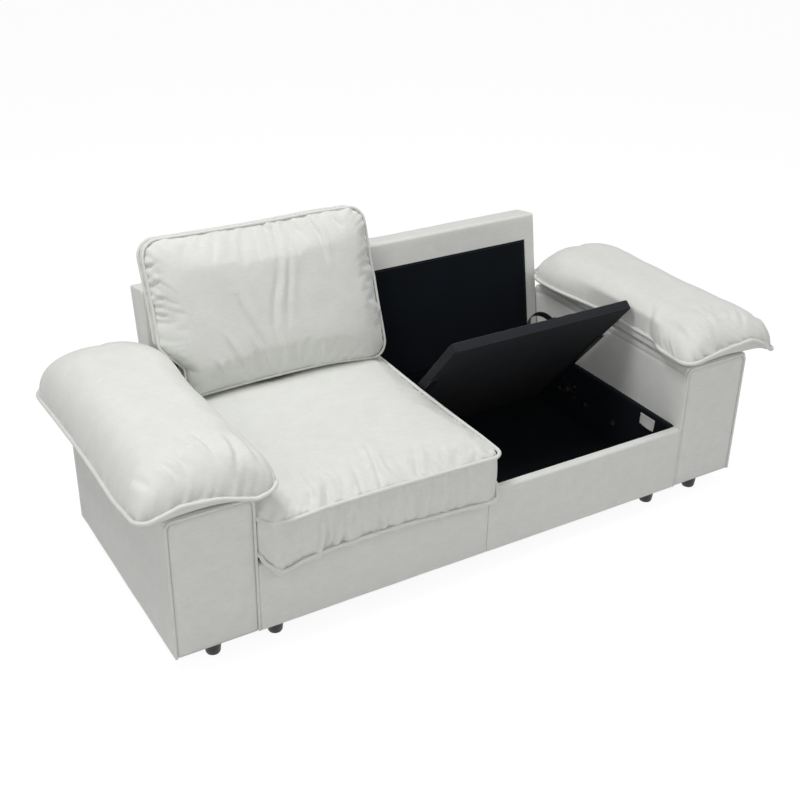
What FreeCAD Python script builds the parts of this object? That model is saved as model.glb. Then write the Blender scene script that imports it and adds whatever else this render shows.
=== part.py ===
import FreeCAD, Part
import Sketcher
import math
import os
import re

Vector = FreeCAD.Vector

# Storage sofa: two seat boxes side by side, pillow-top arms, a leaning backrest.
# Millimetres. +X is the viewer's right, +Y the rear, +Z up. The origin is on the
# floor, under the middle of the whole sofa. The right lid is open, as a user
# leaves it to fill the box. The left lid is closed under its two cushions.

# Driving dimensions: name, value, meaning
SIZES = (
    ("body_width", 2070, "over the outer faces of both arms"),
    ("arm_width", 261, "one arm, without its pillow"),
    ("arm_height", 451, "arm, from the underside of the body"),
    ("arm_past_box", 44, "arm behind the foot of the backrest"),
    ("arm_board", 18, "boards of the arm frame"),
    ("skin", 5, "fabric with its thin foam"),
    ("welt", 9, "diameter of the piping round the arm fronts"),
    ("panel_corner", 26, "rounding of an arm front's upper corners"),
    ("foot_height", 60, "feet, floor to body"),
    ("foot_top_radius", 28, "foot at the body"),
    ("foot_base_radius", 22, "foot at the floor"),
    ("foot_setback", 55, "foot centre behind the front face"),
    ("foot_rear_inset", 6, "rear foot centre ahead of the foot of the backrest"),
    ("foot_from_side", 131, "arm foot centre from the arm's outer face"),
    ("base_foot_from_arm", 66, "seat foot centre from the arm"),
    ("stud_radius", 4, "foot stud"),
    ("stud_length", 30, "foot stud"),
    ("box_height", 227, "seat box, underside to rim"),
    ("box_depth", 776, "front face to the foot of the backrest"),
    ("wall", 20, "boards of the seat box"),
    ("lining", 3, "black cloth on its thin felt"),
    ("front_skin", 6, "padded fabric on the seat box"),
    ("floor_board", 16, "bottom of the storage box"),
    ("bottom_cloth", 1, "cloth under the body"),
    ("section_gap", 1, "joint between the two seat sections"),
    ("back_length", 503, "backrest, rim to top along its front"),
    ("back_lean", 9.6, "backrest lean, degrees"),
    ("back_thickness", 105, "backrest, front to rear"),
    ("back_half", 755, "middle of the sofa to the backrest's end"),
    ("back_foot", 20, "underside of the body to the foot of the backrest"),
    ("back_rail", 60, "rails and posts of the backrest frame"),
    ("lining_top", 92, "fabric band above the black back panel"),
    ("lining_side", 46, "fabric band beside the black back panel"),
    ("lining_seam", 8, "black back panel's edge to the seam in the middle"),
    ("lid_gap", 10, "lid to box lining, each side"),
    ("lid_front_gap", 2, "lid to front lining"),
    ("lid_rear_gap", 31, "lid to rear lining"),
    ("lid_recess", 3, "rim to the closed lid's top"),
    ("lid_thickness", 36, "whole padded lid"),
    ("lid_padding", 17, "padding on top of the lid board"),
    ("lid_cloth", 3, "black cloth round the lid"),
    ("lid_open", 50, "open lid, degrees"),
    ("pivot_from_rear", 180, "lid rear edge to pivot"),
    ("pivot_drop", 95, "lid top to pivot"),
    ("pin_radius", 5, "lid pivot pin"),
    ("pin_play", 0.05, "pin in its ear, radial"),
    ("pin_head_radius", 9, "pin head"),
    ("pin_head", 2.5, "pin head thickness"),
    ("pin_end_play", 0.5, "pin head to its ear"),
    ("plate", 3, "steel of brackets and plates"),
    ("plate_half_length", 42, "pivot plate, half its length"),
    ("plate_half_height", 32, "pivot plate, half its height"),
    ("ear_gap", 2, "ear to pivot plate"),
    ("ear_half_width", 18, "bracket ear, half its width"),
    ("flange_width", 28, "bracket under the lid"),
    ("flange_front", 330, "bracket ahead of the pivot"),
    ("flange_rear", 120, "bracket behind the pivot"),
    ("screw_radius", 2.5, "small screws"),
    ("screw_head_radius", 4.5, "small screw heads"),
    ("screw_head", 1.5, "small screw head thickness"),
    ("screw_length", 15, "small screws"),
    ("strap_width", 26, "pull strap"),
    ("strap_thickness", 2.4, "pull strap"),
    ("strap_span", 86, "between the strap's ends"),
    ("strap_rise", 34, "open loop above the lid"),
    ("strap_setback", 6, "strap behind the lid's front edge"),
    ("bolt_radius", 4, "frame bolts"),
    ("bolt_head_radius", 9, "frame bolt heads"),
    ("bolt_head", 4, "frame bolt head thickness"),
    ("arm_bolt_from_pivot", 54, "rear arm bolt behind the pivot"),
    ("arm_bolt_pitch", 155, "between arm bolts"),
    ("arm_bolt_height", 108, "arm bolts above the underside"),
    ("join_bolt_first", 180, "first joining bolt behind the front face"),
    ("join_bolt_pitch", 380, "between joining bolts"),
    ("join_bolt_height", 60, "joining bolts above the underside"),
    ("back_bolt_place", 160, "backrest bolt from the middle and from the arm"),
    ("back_bolt_drop", 27, "backrest bolt below the rim"),
    ("back_bolt_grip", 25, "backrest bolt into the backrest frame"),
    ("label_width", 72, "blank label"),
    ("label_height", 42, "blank label"),
    ("label_thickness", 0.6, "blank label"),
    ("label_place", 100, "label behind the front face"),
    ("label_drop", 10, "label below the rim"),
    ("fit", 0.3, "soft pieces to their neighbours"),
    ("hole_play", 0.1, "bolts and studs in their holes, radial"),
    ("cover", 3, "cover cloth of the cushions"),
    ("cover_play", 1.2, "filling to cover"),
    ("pad_overhang", 50, "pillow ahead of the arm"),
    ("pad_inner", 61, "pillow over the arm's inner face"),
    ("pad_outer", 92, "pillow over the arm's outer face"),
    ("pad_rear", 55, "pillow behind the arm"),
    ("pad_height", 124, "pillow's crown above the arm"),
    ("pad_seam", 32, "pillow's welt above the arm"),
    ("pad_tilt", 4.5, "welt dips towards the outside, degrees"),
    ("pad_corner", 95, "pillow's corners in plan"),
    ("pad_welt", 12, "diameter of the pillow's welt"),
    ("pad_foot", 14, "pillow's flat underside to the arm's edges"),
    ("pad_tuck", 30, "pillow drawn in halfway below its seam"),
    ("pad_rounding", 135, "pillow's crown rounds in over this width"),
    ("pad_clearance", 11, "back cushion to the pillow beside it"),
    ("pad_shoulder", 22, "back cushion's notch above the pillow's flank"),
    ("pad_bay", 31, "pillow's inner side set back where the lid swings past"),
    ("pad_bay_start", 127, "set-back from here behind the front face"),
    ("pad_bay_end", 397, "set-back to here behind the front face"),
    ("cushion_welt", 10, "diameter of the cushions' piping"),
    ("seat_overhang", 35, "seat cushion ahead of the front face"),
    ("seat_past_middle", 24, "seat cushion past the middle of the sofa"),
    ("seat_crown", 177, "seat cushion, rim to crown"),
    ("seat_low_seam", 25, "rim to the lower piping"),
    ("seat_high_seam", 141, "rim to the upper piping"),
    ("seat_corner", 42, "seat cushion's corners in plan"),
    ("seat_foot", 16, "seat cushion's flat underside to its lower seam"),
    ("seat_drawn_in", 4, "seat cushion's band drawn in between its pipings"),
    ("seat_rounding", 190, "seat cushion's crown rounds in over this width"),
    ("back_cushion_width", 792, "back cushion over its piping"),
    ("back_cushion_height", 516, "back cushion over its piping"),
    ("back_cushion_past_middle", 20, "back cushion past the middle of the sofa"),
    ("back_cushion_lean", 14, "back cushion lean, degrees"),
    ("back_cushion_edge", 44, "between the back cushion's two pipings"),
    ("back_cushion_front", 46, "front crown beyond its piping"),
    ("back_cushion_rear", 74, "rear crown beyond its piping"),
    ("back_cushion_corner", 55, "back cushion's corners"),
    ("back_drawn_in", 2, "back cushion's edge drawn in between its pipings"),
    ("back_rounding", 150, "back cushion's crowns round in over this width"),
)

# Places that follow from the sizes
FORMULAS = {
    "half_width": "body_width / 2",
    "arm_inner": "half_width - arm_width",
    "arm_depth": "box_depth + arm_past_box",
    "foot_rear_place": "box_depth - foot_rear_inset",
    "low": "foot_height",
    "rim": "low + box_height",
    "arm_top": "low + arm_height",
    "back_reach": "box_depth + back_length * sin(back_lean) + back_thickness * cos(back_lean)",
    "front": "(pad_overhang - back_reach) / 2",
    "base_rear": "front + box_depth",
    "arm_rear": "front + arm_depth",
    "cloth_top": "low + bottom_cloth",
    "wall_inner": "front_skin + wall",
    "box_front": "front + front_skin + wall + lining",
    "box_rear": "base_rear - lining",
    "box_side": "arm_inner - wall - lining",
    "box_middle": "wall + lining",
    "board_top": "rim - front_skin",
    "side_top": "rim - lining",
    "floor_top": "cloth_top + floor_board",
    "lid_depth": "box_rear - box_front - lid_front_gap - lid_rear_gap",
    "pivot_back": "lid_depth - pivot_from_rear",
    "pivot_y": "box_front + lid_front_gap + pivot_back",
    "pivot_z": "rim - lid_recess - pivot_drop",
    "lid_low": "pivot_drop - lid_thickness",
    "lid_side": "box_side - lid_gap",
    "lid_middle": "box_middle + lid_gap",
    "lid_center": "(lid_side + lid_middle) / 2",
}

doc = FreeCAD.newDocument("storage_sofa")
sheet = doc.addObject("Spreadsheet::Sheet", "Sizes")
for row, (alias, number, meaning) in enumerate(SIZES, start=1):
    sheet.set(f"A{row}", alias)
    sheet.set(f"B{row}", str(number))
    sheet.set(f"C{row}", meaning)
    sheet.setAlias(f"B{row}", alias)
doc.recompute()
ALIASES = {alias for alias, number, meaning in SIZES}
NODES = []
SIDES = (("left", -1), ("right", 1))


def expand(text):
    """The text with each formula written out and each size as its sheet cell."""
    def word(match):
        name = match.group(0)
        if name in FORMULAS:
            return "(" + expand(FORMULAS[name]) + ")"
        if name in ALIASES:
            return "Sizes." + name
        return name
    return re.sub(r"[a-z][a-z_]+", word, str(text))


def size(text):
    """The number that a formula gives now."""
    return float(sheet.evalExpression(expand(text)))


def bind(thing, prop, text):
    thing.setExpression(prop, expand(text))


def node(thing):
    """Marks a finished sub-part. Its label names its file."""
    thing.Label = thing.Name
    NODES.append(thing)
    return thing


def mirror_range(side, low, high):
    """The range along X on the sofa's right half, or its mirror on the left."""
    return (low, high) if side > 0 else (f"-({high})", f"-({low})")


def block(name, xs, ys, zs):
    """A box between two planes on each axis."""
    box = doc.addObject("Part::Box", name)
    for prop, (low, high) in (("Length", xs), ("Width", ys), ("Height", zs)):
        bind(box, prop, f"({high}) - ({low})")
    for axis, (low, high) in (("x", xs), ("y", ys), ("z", zs)):
        bind(box, f"Placement.Base.{axis}", low)
    return box


def rod(name, axis, start, radius, length):
    """A cylinder from a start point along X, Y or Z."""
    turn = {
        "x": FreeCAD.Rotation(Vector(0, 1, 0), 90),
        "y": FreeCAD.Rotation(Vector(1, 0, 0), -90),
        "z": FreeCAD.Rotation(),
    }[axis]
    cylinder = doc.addObject("Part::Cylinder", name)
    cylinder.Placement = FreeCAD.Placement(Vector(), turn)
    bind(cylinder, "Radius", radius)
    bind(cylinder, "Height", length)
    for letter, place in zip("xyz", start):
        bind(cylinder, f"Placement.Base.{letter}", place)
    return cylinder


def join(name, *things):
    fused = doc.addObject("Part::MultiFuse", name)
    fused.Shapes = list(things)
    return fused


def group(name, *things):
    """Separate solids that share one node."""
    compound = doc.addObject("Part::Compound", name)
    compound.Links = list(things)
    return compound


def cut(name, base, *tools):
    removed = doc.addObject("Part::Cut", name)
    removed.Base = base
    removed.Tool = tools[0] if len(tools) == 1 else join(name + "_tools", *tools)
    return removed


def bolt(name, axis, start, way, radius, length, head_radius, head):
    """A headed bolt: the head stands at the start, the shank runs on from it."""
    along = "xyz".index(axis)
    shank_start = list(start)
    head_start = list(start)
    if way > 0:
        head_start[along] = f"({start[along]}) - ({head})"
    else:
        shank_start[along] = f"({start[along]}) - ({length})"
    shank = rod(name + "_shank", axis, shank_start, radius, length)
    cap = rod(name + "_head", axis, head_start, head_radius, head)
    return join(name, shank, cap)


def slab(name, corners, xs):
    """A plate with a polygon in the Y and Z plane, measured from the front face."""
    body = doc.addObject("PartDesign::Body", name)
    sketch = body.newObject("Sketcher::SketchObject", name + "_sketch")
    plane = [f for f in body.Origin.OriginFeatures if f.Role == "YZ_Plane"][0]
    sketch.AttachmentSupport = [(plane, "")]
    sketch.MapMode = "FlatFace"
    points = [Vector(size(y), size(z), 0) for y, z in corners]
    count = len(points)
    for i in range(count):
        sketch.addGeometry(Part.LineSegment(points[i], points[(i + 1) % count]))
    for i in range(count):
        sketch.addConstraint(Sketcher.Constraint("Coincident", i, 2, (i + 1) % count, 1))
    for i, (y, z) in enumerate(corners):
        for kind, text in (("DistanceX", y), ("DistanceY", z)):
            held = sketch.addConstraint(Sketcher.Constraint(kind, -1, 1, i, 1, size(text)))
            bind(sketch, f"Constraints[{held}]", text)
    pad = body.newObject("PartDesign::Pad", name + "_pad")
    pad.Profile = sketch
    bind(pad, "Length", f"({xs[1]}) - ({xs[0]})")
    bind(body, "Placement.Base.x", xs[0])
    bind(body, "Placement.Base.y", "front")
    return body


def solid(name, shape):
    """A sub-part whose form is worked out here from the sheet's sizes."""
    feature = doc.addObject("Part::Feature", name)
    feature.Shape = shape
    return feature


# Seat boxes
def foot_places():
    """Foot centres of one row, from left to right."""
    seat = "arm_inner - base_foot_from_arm"
    arm = "half_width - foot_from_side"
    return (f"-({arm})", f"-({seat})", seat, arm)


def stud_holes(name):
    """Clearance for the foot studs in what they screw into."""
    holes = []
    for row, place in (("front", "foot_setback"), ("rear", "foot_rear_place")):
        for i, x in enumerate(foot_places()):
            start = (x, f"front + {place}", "low - 1")
            holes.append(rod(f"{name}_{row}_{i}", "z", start, "stud_radius + hole_play",
                             "stud_length / 2 + 1"))
    return holes


def arm_bolt_places():
    for i in range(3):
        y = f"pivot_y + arm_bolt_from_pivot - {i} * arm_bolt_pitch"
        yield i, y, "low + arm_bolt_height"


def join_bolt_places():
    for i in range(2):
        y = f"front + join_bolt_first + {i} * join_bolt_pitch"
        yield i, y, "low + join_bolt_height"


def arm_bolt_holes(name, side):
    start = "arm_inner - wall - lining - 1"
    length = "wall + lining + skin + arm_board + 2"
    low, high = mirror_range(side, start, f"{start} + {length}")
    return [rod(f"{name}_{i}", "x", (low, y, z), "bolt_radius + hole_play", length)
            for i, y, z in arm_bolt_places()]


def join_bolt_holes(name):
    return [rod(f"{name}_{i}", "x", ("-(box_middle) - 1", y, z), "bolt_radius + hole_play",
                "2 * box_middle + 2")
            for i, y, z in join_bolt_places()]


def back_bolt_places(side):
    for i, x in enumerate(("back_bolt_place", "arm_inner - back_bolt_place")):
        yield i, x if side > 0 else f"-({x})", "rim - back_bolt_drop"


def back_bolt_holes(name, side):
    return [rod(f"{name}_{i}", "y", (x, "box_rear - 1", z), "bolt_radius + hole_play",
                "lining + wall + skin + back_bolt_grip + 2")
            for i, x, z in back_bolt_places(side)]


def pivot_stations(side):
    """Each end of a lid: its name, the lining there and the way from it into the box."""
    for end, face, way in (("middle", "box_middle", 1), ("side", "box_side", -1)):
        yield end, face if side > 0 else f"-({face})", way * side


def plate_screw_places(side):
    for end, wall, step in pivot_stations(side):
        for i, (along, up) in enumerate(((-1, 1), (1, 1), (-1, -1), (1, -1))):
            y = f"pivot_y + {along} * (plate_half_length - 2 * screw_head_radius)"
            z = f"pivot_z + {up} * (plate_half_height - 2 * screw_head_radius)"
            yield f"{end}_{i}", wall, step, y, z


def plate_screw_holes(name, side):
    holes = []
    for label, wall, step, y, z in plate_screw_places(side):
        face = f"({wall}) + {step} * (plate + 1)"
        start = f"{face} - screw_length - 2" if step > 0 else face
        holes.append(rod(f"{name}_{label}", "x", (start, y, z), "screw_radius + hole_play",
                         "screw_length + 2"))
    return holes


def seat_box(word, side):
    """One seat section: four walls, a bottom, its front fabric, and its black lining,
    which turns over the side walls' tops."""
    inside = ("wall", "arm_inner - wall")
    xs = mirror_range(side, *inside)
    ys = ("front + wall_inner", "base_rear")
    zs = ("cloth_top", "side_top")
    edge = mirror_range(side, "section_gap / 2", "arm_inner")
    node(block(f"front_board_{word}", edge, ("front + front_skin", "front + wall_inner"),
               ("cloth_top", "board_top")))
    outer = block(f"side_board_{word}_plain", mirror_range(side, "arm_inner - wall", "arm_inner"),
                  ys, zs)
    node(cut(f"side_board_{word}", outer, *arm_bolt_holes(f"side_hole_{word}", side),
             *plate_screw_holes(f"side_screw_{word}", side)))
    middle = block(f"center_board_{word}_plain", mirror_range(side, "section_gap / 2", "wall"),
                   ys, zs)
    node(cut(f"center_board_{word}", middle, *join_bolt_holes(f"center_hole_{word}"),
             *plate_screw_holes(f"center_screw_{word}", side)))
    rear = block(f"rear_board_{word}_plain", edge, ("base_rear", "base_rear + wall"),
                 ("cloth_top", "rim"))
    node(cut(f"rear_board_{word}", rear, *back_bolt_holes(f"rear_hole_{word}", side)))
    floor = block(f"floor_panel_{word}_plain", xs, ys, ("cloth_top", "floor_top"))
    node(cut(f"floor_panel_{word}", floor, *stud_holes(f"floor_stud_{word}")))

    tub = block(f"lining_{word}_tub", xs, ys, ("floor_top", "rim"))
    turned = block(f"lining_{word}_turned", edge, ys, ("side_top", "rim"))
    hollow = block(f"lining_{word}_in", mirror_range(side, "box_middle", "box_side"),
                   ("box_front", "box_rear"), ("floor_top + lining", "rim + 1"))
    holes = arm_bolt_holes(f"lining_hole_{word}", side) + join_bolt_holes(f"lining_join_{word}")
    holes += back_bolt_holes(f"lining_back_{word}", side)
    holes += plate_screw_holes(f"lining_screw_{word}", side)
    node(cut(f"box_lining_{word}", join(f"lining_{word}_out", tub, turned), hollow, *holes))

    face = block(f"base_cover_{word}_out", edge, ("front", "front + wall_inner"), ("low", "rim"))
    behind = block(f"base_cover_{word}_in", mirror_range(side, "-1", "arm_inner + 1"),
                   ("front + front_skin", "box_front"), ("low - 1", "board_top"))
    node(cut(f"base_cover_{word}", face, behind))


for word, side in SIDES:
    seat_box(word, side)

cloth = block("bottom_cloth_plain", ("-(arm_inner)", "arm_inner"),
              ("front + front_skin", "base_rear + wall"), ("low", "cloth_top"))
node(cut("bottom_cloth", cloth, *stud_holes("cloth_hole")))

joining = []
for i, y, z in join_bolt_places():
    joining.append(bolt(f"joining_bolt_{i}", "x", ("-(box_middle)", y, z), 1, "bolt_radius",
                        "2 * box_middle + bolt_head", "bolt_head_radius", "bolt_head"))
    nut = rod(f"joining_nut_{i}_out", "x", ("box_middle", y, z), "bolt_head_radius", "bolt_head")
    bore = rod(f"joining_nut_{i}_bore", "x", ("box_middle - 1", y, z), "bolt_radius + hole_play",
               "bolt_head + 2")
    joining.append(cut(f"joining_nut_{i}", nut, bore))
node(group("joining_bolts", *joining))

# Blank label on the right box wall, near the front
node(block("care_label", ("box_side - label_thickness", "box_side"),
           ("front + label_place", "front + label_place + label_width"),
           ("rim - label_drop - label_height", "rim - label_drop")))


# Arms
def arm(word, side):
    """A timber frame in a fabric cover, with a padded and piped front panel."""
    outside = mirror_range(side, "arm_inner", "half_width")
    inside = mirror_range(side, "arm_inner + skin", "half_width - skin")
    ys = ("front + welt", "arm_rear")
    cover_out = block(f"arm_cover_{word}_out", outside, ys, ("low", "arm_top"))
    cover_in = block(f"arm_cover_{word}_in", inside, ("front + welt - 1", "arm_rear - skin"),
                     ("low + skin", "arm_top - skin"))
    studs = stud_holes(f"arm_cover_stud_{word}")
    bolts = arm_bolt_holes(f"arm_cover_bolt_{word}", side)
    node(cut(f"arm_cover_{word}", cover_out, cover_in, *studs, *bolts))

    frame_out = block(f"arm_frame_{word}_out", inside, ("front + welt", "arm_rear - skin"),
                      ("low + skin", "arm_top - skin"))
    hollow = mirror_range(side, "arm_inner + skin + arm_board", "half_width - skin - arm_board")
    frame_in = block(f"arm_frame_{word}_in", hollow,
                     ("front + welt + arm_board", "arm_rear - skin - arm_board"),
                     ("low + skin + arm_board", "arm_top - skin - arm_board"))
    studs = stud_holes(f"arm_frame_stud_{word}")
    bolts = arm_bolt_holes(f"arm_frame_bolt_{word}", side)
    node(cut(f"arm_frame_{word}", frame_out, frame_in, *studs, *bolts))
    arm_front(word, side)


def arm_front(word, side):
    """The padded front panel, rounded at its upper corners, inside its piping."""
    body = doc.addObject("PartDesign::Body", f"arm_front_panel_{word}")
    sketch = body.newObject("Sketcher::SketchObject", f"arm_front_{word}_sketch")
    plane = [f for f in body.Origin.OriginFeatures if f.Role == "XZ_Plane"][0]
    sketch.AttachmentSupport = [(plane, "")]
    sketch.MapMode = "FlatFace"
    width = size("arm_width - 2 * welt - 2 * fit")
    height = size("arm_height - welt - fit")
    corners = [Vector(), Vector(width, 0, 0), Vector(width, height, 0), Vector(0, height, 0)]
    for i in range(4):
        sketch.addGeometry(Part.LineSegment(corners[i], corners[(i + 1) % 4]))
    for i in range(4):
        sketch.addConstraint(Sketcher.Constraint("Coincident", i, 2, (i + 1) % 4, 1))
    for i in (0, 2):
        sketch.addConstraint(Sketcher.Constraint("Horizontal", i))
        sketch.addConstraint(Sketcher.Constraint("Vertical", i + 1))
    sketch.addConstraint(Sketcher.Constraint("Coincident", 0, 1, -1, 1))
    for line, kind, value, text in (
            (0, "DistanceX", width, "arm_width - 2 * welt - 2 * fit"),
            (1, "DistanceY", height, "arm_height - welt - fit")):
        held = sketch.addConstraint(Sketcher.Constraint(kind, line, 1, line, 2, value))
        bind(sketch, f"Constraints[{held}]", text)
    pad = body.newObject("PartDesign::Pad", f"arm_front_{word}_pad")
    pad.Profile = sketch
    bind(pad, "Length", "welt")
    doc.recompute()
    upper = [f"Edge{i}" for i, edge in enumerate(pad.Shape.Edges, start=1)
             if abs(edge.tangentAt(edge.FirstParameter).y) > 0.9
             and edge.CenterOfMass.z > height / 2]
    rounding = body.newObject("PartDesign::Fillet", f"arm_front_{word}_rounding")
    rounding.Base = (pad, upper)
    bind(rounding, "Radius", "panel_corner - welt")
    bind(body, "Placement.Base.x", mirror_range(side, "arm_inner + welt + fit",
                                                "half_width - welt - fit")[0])
    bind(body, "Placement.Base.y", "front + welt")
    bind(body, "Placement.Base.z", "low")
    node(body)
    node(solid(f"arm_piping_{word}", arm_piping(side)))


def arm_piping(side):
    """A tube up one edge of the front panel, over its top and down the other."""
    radius = size("welt / 2")
    inner = size("arm_inner") + radius
    outer = size("half_width") - radius
    low = size("low")
    top = size("arm_top") - radius
    y = size("front") + radius
    bend = size("panel_corner") - radius
    turn = bend * (1 - math.sqrt(0.5))

    def at(x, z):
        return Vector(side * x, y, z)

    wire = Part.Wire([
        Part.LineSegment(at(inner, low), at(inner, top - bend)).toShape(),
        Part.Arc(at(inner, top - bend), at(inner + turn, top - turn),
                 at(inner + bend, top)).toShape(),
        Part.LineSegment(at(inner + bend, top), at(outer - bend, top)).toShape(),
        Part.Arc(at(outer - bend, top), at(outer - turn, top - turn),
                 at(outer, top - bend)).toShape(),
        Part.LineSegment(at(outer, top - bend), at(outer, low)).toShape(),
    ])
    section = Part.Wire([Part.Circle(at(inner, low), Vector(0, 0, 1), radius).toShape()])
    return wire.makePipeShell([section], True, False)


for word, side in SIDES:
    arm(word, side)

arm_bolts = []
for word, side in SIDES:
    for i, y, z in arm_bolt_places():
        start = "box_side" if side > 0 else "-(box_side)"
        arm_bolts.append(bolt(f"arm_bolt_{word}_{i}", "x", (start, y, z), side, "bolt_radius",
                              "lining + wall + skin + arm_board", "bolt_head_radius",
                              "bolt_head"))
node(group("arm_bolts", *arm_bolts))

# Feet
for row, place in (("front", "foot_setback"), ("rear", "foot_rear_place")):
    feet = []
    for i, x in enumerate(foot_places()):
        cone = doc.addObject("Part::Cone", f"{row}_foot_{i}_cone")
        bind(cone, "Radius1", "foot_base_radius")
        bind(cone, "Radius2", "foot_top_radius")
        bind(cone, "Height", "foot_height")
        bind(cone, "Placement.Base.x", x)
        bind(cone, "Placement.Base.y", f"front + {place}")
        hole = rod(f"{row}_foot_{i}_hole", "z", (x, f"front + {place}", "low - stud_length / 2"),
                   "stud_radius + hole_play", "stud_length")
        feet.append(cut(f"{row}_foot_{i}", cone, hole))
    node(group(f"{row}_feet", *feet))
studs = []
for row, place in (("front", "foot_setback"), ("rear", "foot_rear_place")):
    for i, x in enumerate(foot_places()):
        start = (x, f"front + {place}", "low - stud_length / 2")
        studs.append(rod(f"{row}_stud_{i}", "z", start, "stud_radius", "stud_length - 1"))
node(group("foot_studs", *studs))


# Backrest
def back_corners(inset):
    """The backrest seen from the side, drawn in by an inset on every face."""
    tall = f"(back_length - {inset})"
    deep = f"(back_thickness - {inset})"
    rise = "(rim - low - back_foot)"
    front_top = (f"box_depth + {tall} * sin(back_lean) + {inset} * cos(back_lean)",
                 f"rim + {tall} * cos(back_lean) - {inset} * sin(back_lean)")
    rear_top = (f"box_depth + {tall} * sin(back_lean) + {deep} * cos(back_lean)",
                f"rim + {tall} * cos(back_lean) - {deep} * sin(back_lean)")
    rear_low = (f"box_depth + {deep} / cos(back_lean) - ({rise} - {inset}) * tan(back_lean)",
                f"low + back_foot + {inset}")
    front_low = (f"box_depth + wall + {inset}", f"low + back_foot + {inset}")
    shoulder = (f"box_depth + wall + {inset}", f"rim + {inset}")
    front_foot = (f"box_depth + {inset} / cos(back_lean) + {inset} * tan(back_lean)",
                  f"rim + {inset}")
    return (front_foot, front_top, rear_top, rear_low, front_low, shoulder)


def back(word, side):
    """One backrest section: a timber frame in its cover, with a black front panel."""
    xs = mirror_range(side, "section_gap / 2", "back_half")
    inside = mirror_range(side, "section_gap / 2 + skin", "back_half - skin")
    outer = slab(f"back_{word}_outer", back_corners("0"), xs)
    hollow = slab(f"back_{word}_hollow", back_corners("skin"), inside)
    node(cut(f"back_cover_{word}", outer, hollow,
             *back_bolt_holes(f"back_cover_hole_{word}", side)))
    plain = slab(f"back_{word}_plain", back_corners("skin"), inside)
    window = mirror_range(side, "section_gap / 2 + skin + back_rail",
                          "back_half - skin - back_rail")
    opening = block(f"back_{word}_window", window,
                    ("base_rear - back_thickness", "front + back_reach + back_thickness"),
                    ("rim + back_rail", "rim + back_length - 2 * back_rail"))
    node(cut(f"back_frame_{word}", plain, opening,
             *back_bolt_holes(f"back_frame_hole_{word}", side)))

    tall = "(back_length - lining_top)"
    panel = (("box_depth - lining / cos(back_lean)", "rim"),
             (f"box_depth + {tall} * sin(back_lean) - lining * cos(back_lean)",
              f"rim + {tall} * cos(back_lean) + lining * sin(back_lean)"),
             (f"box_depth + {tall} * sin(back_lean)", f"rim + {tall} * cos(back_lean)"),
             ("box_depth", "rim"))
    node(slab(f"back_lining_{word}", panel,
              mirror_range(side, "section_gap / 2 + lining_seam", "back_half - lining_side")))


for word, side in SIDES:
    back(word, side)

back_bolts = []
for word, side in SIDES:
    for i, x, z in back_bolt_places(side):
        back_bolts.append(bolt(f"back_bolt_{word}_{i}", "y", (x, "box_rear", z), 1,
                               "bolt_radius", "lining + wall + skin + back_bolt_grip",
                               "bolt_head_radius", "bolt_head"))
node(group("back_bolts", *back_bolts))

# Lids. They are drawn closed, measured from the pivot, and then turned open.
def placed_on_pivot(thing, is_open):
    thing.Placement = FreeCAD.Placement(Vector(), FreeCAD.Rotation(Vector(1, 0, 0), -1))
    bind(thing, "Placement.Base.y", "pivot_y")
    bind(thing, "Placement.Base.z", "pivot_z")
    bind(thing, "Placement.Rotation.Angle", "-lid_open" if is_open else "0")
    return thing


def pull_strap(side, is_open):
    """The strap along X just behind the lid's front edge: a standing loop, or flat."""
    thick = size("strap_thickness")
    half = size("strap_span / 2")
    rise = size("strap_rise")
    tab = size("strap_width / 2")
    front = size("strap_setback - pivot_back")
    top = size("pivot_drop")
    middle = side * size("lid_center")

    def at(x, z):
        return Vector(middle + x, front, top + z)

    if is_open:
        upper = [Part.LineSegment(at(half + tab, thick), at(half, thick)),
                 Part.Arc(at(half, thick), at(0, rise), at(-half, thick)),
                 Part.LineSegment(at(-half, thick), at(-half - tab, thick))]
        lower = [Part.LineSegment(at(-half - tab, 0), at(-half + thick, 0)),
                 Part.Arc(at(-half + thick, 0), at(0, rise - thick), at(half - thick, 0)),
                 Part.LineSegment(at(half - thick, 0), at(half + tab, 0))]
    else:
        upper = [Part.LineSegment(at(half + tab, thick), at(-half - tab, thick))]
        lower = [Part.LineSegment(at(-half - tab, 0), at(half + tab, 0))]
    ends = [Part.LineSegment(at(half + tab, 0), at(half + tab, thick)),
            Part.LineSegment(at(-half - tab, thick), at(-half - tab, 0))]
    edges = lower + ends[:1] + upper + ends[1:]
    face = Part.Face(Part.Wire([edge.toShape() for edge in edges]))
    return face.extrude(Vector(0, size("strap_width"), 0))


def lid_bracket(name, wall, step):
    """A steel angle: a flange under the lid, and an ear down to the pivot."""
    ear_start = f"({wall}) + {step} * (plate + ear_gap)"

    def across(width):
        end = f"{ear_start} + {step} * {width}"
        return (ear_start, end) if step > 0 else (end, ear_start)

    flange = block(name + "_flange", across("flange_width"), ("-(flange_front)", "flange_rear"),
                   ("lid_low - plate", "lid_low"))
    ear = block(name + "_ear", across("plate"), ("-(ear_half_width)", "ear_half_width"),
                ("-(ear_half_width)", "lid_low - plate / 2"))
    bore = rod(name + "_bore", "x", (f"{across('plate')[0]} - 1", "0", "0"),
               "pin_radius + pin_play", "plate + 2")
    return cut(name, join(name + "_plain", flange, ear), bore)


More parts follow.
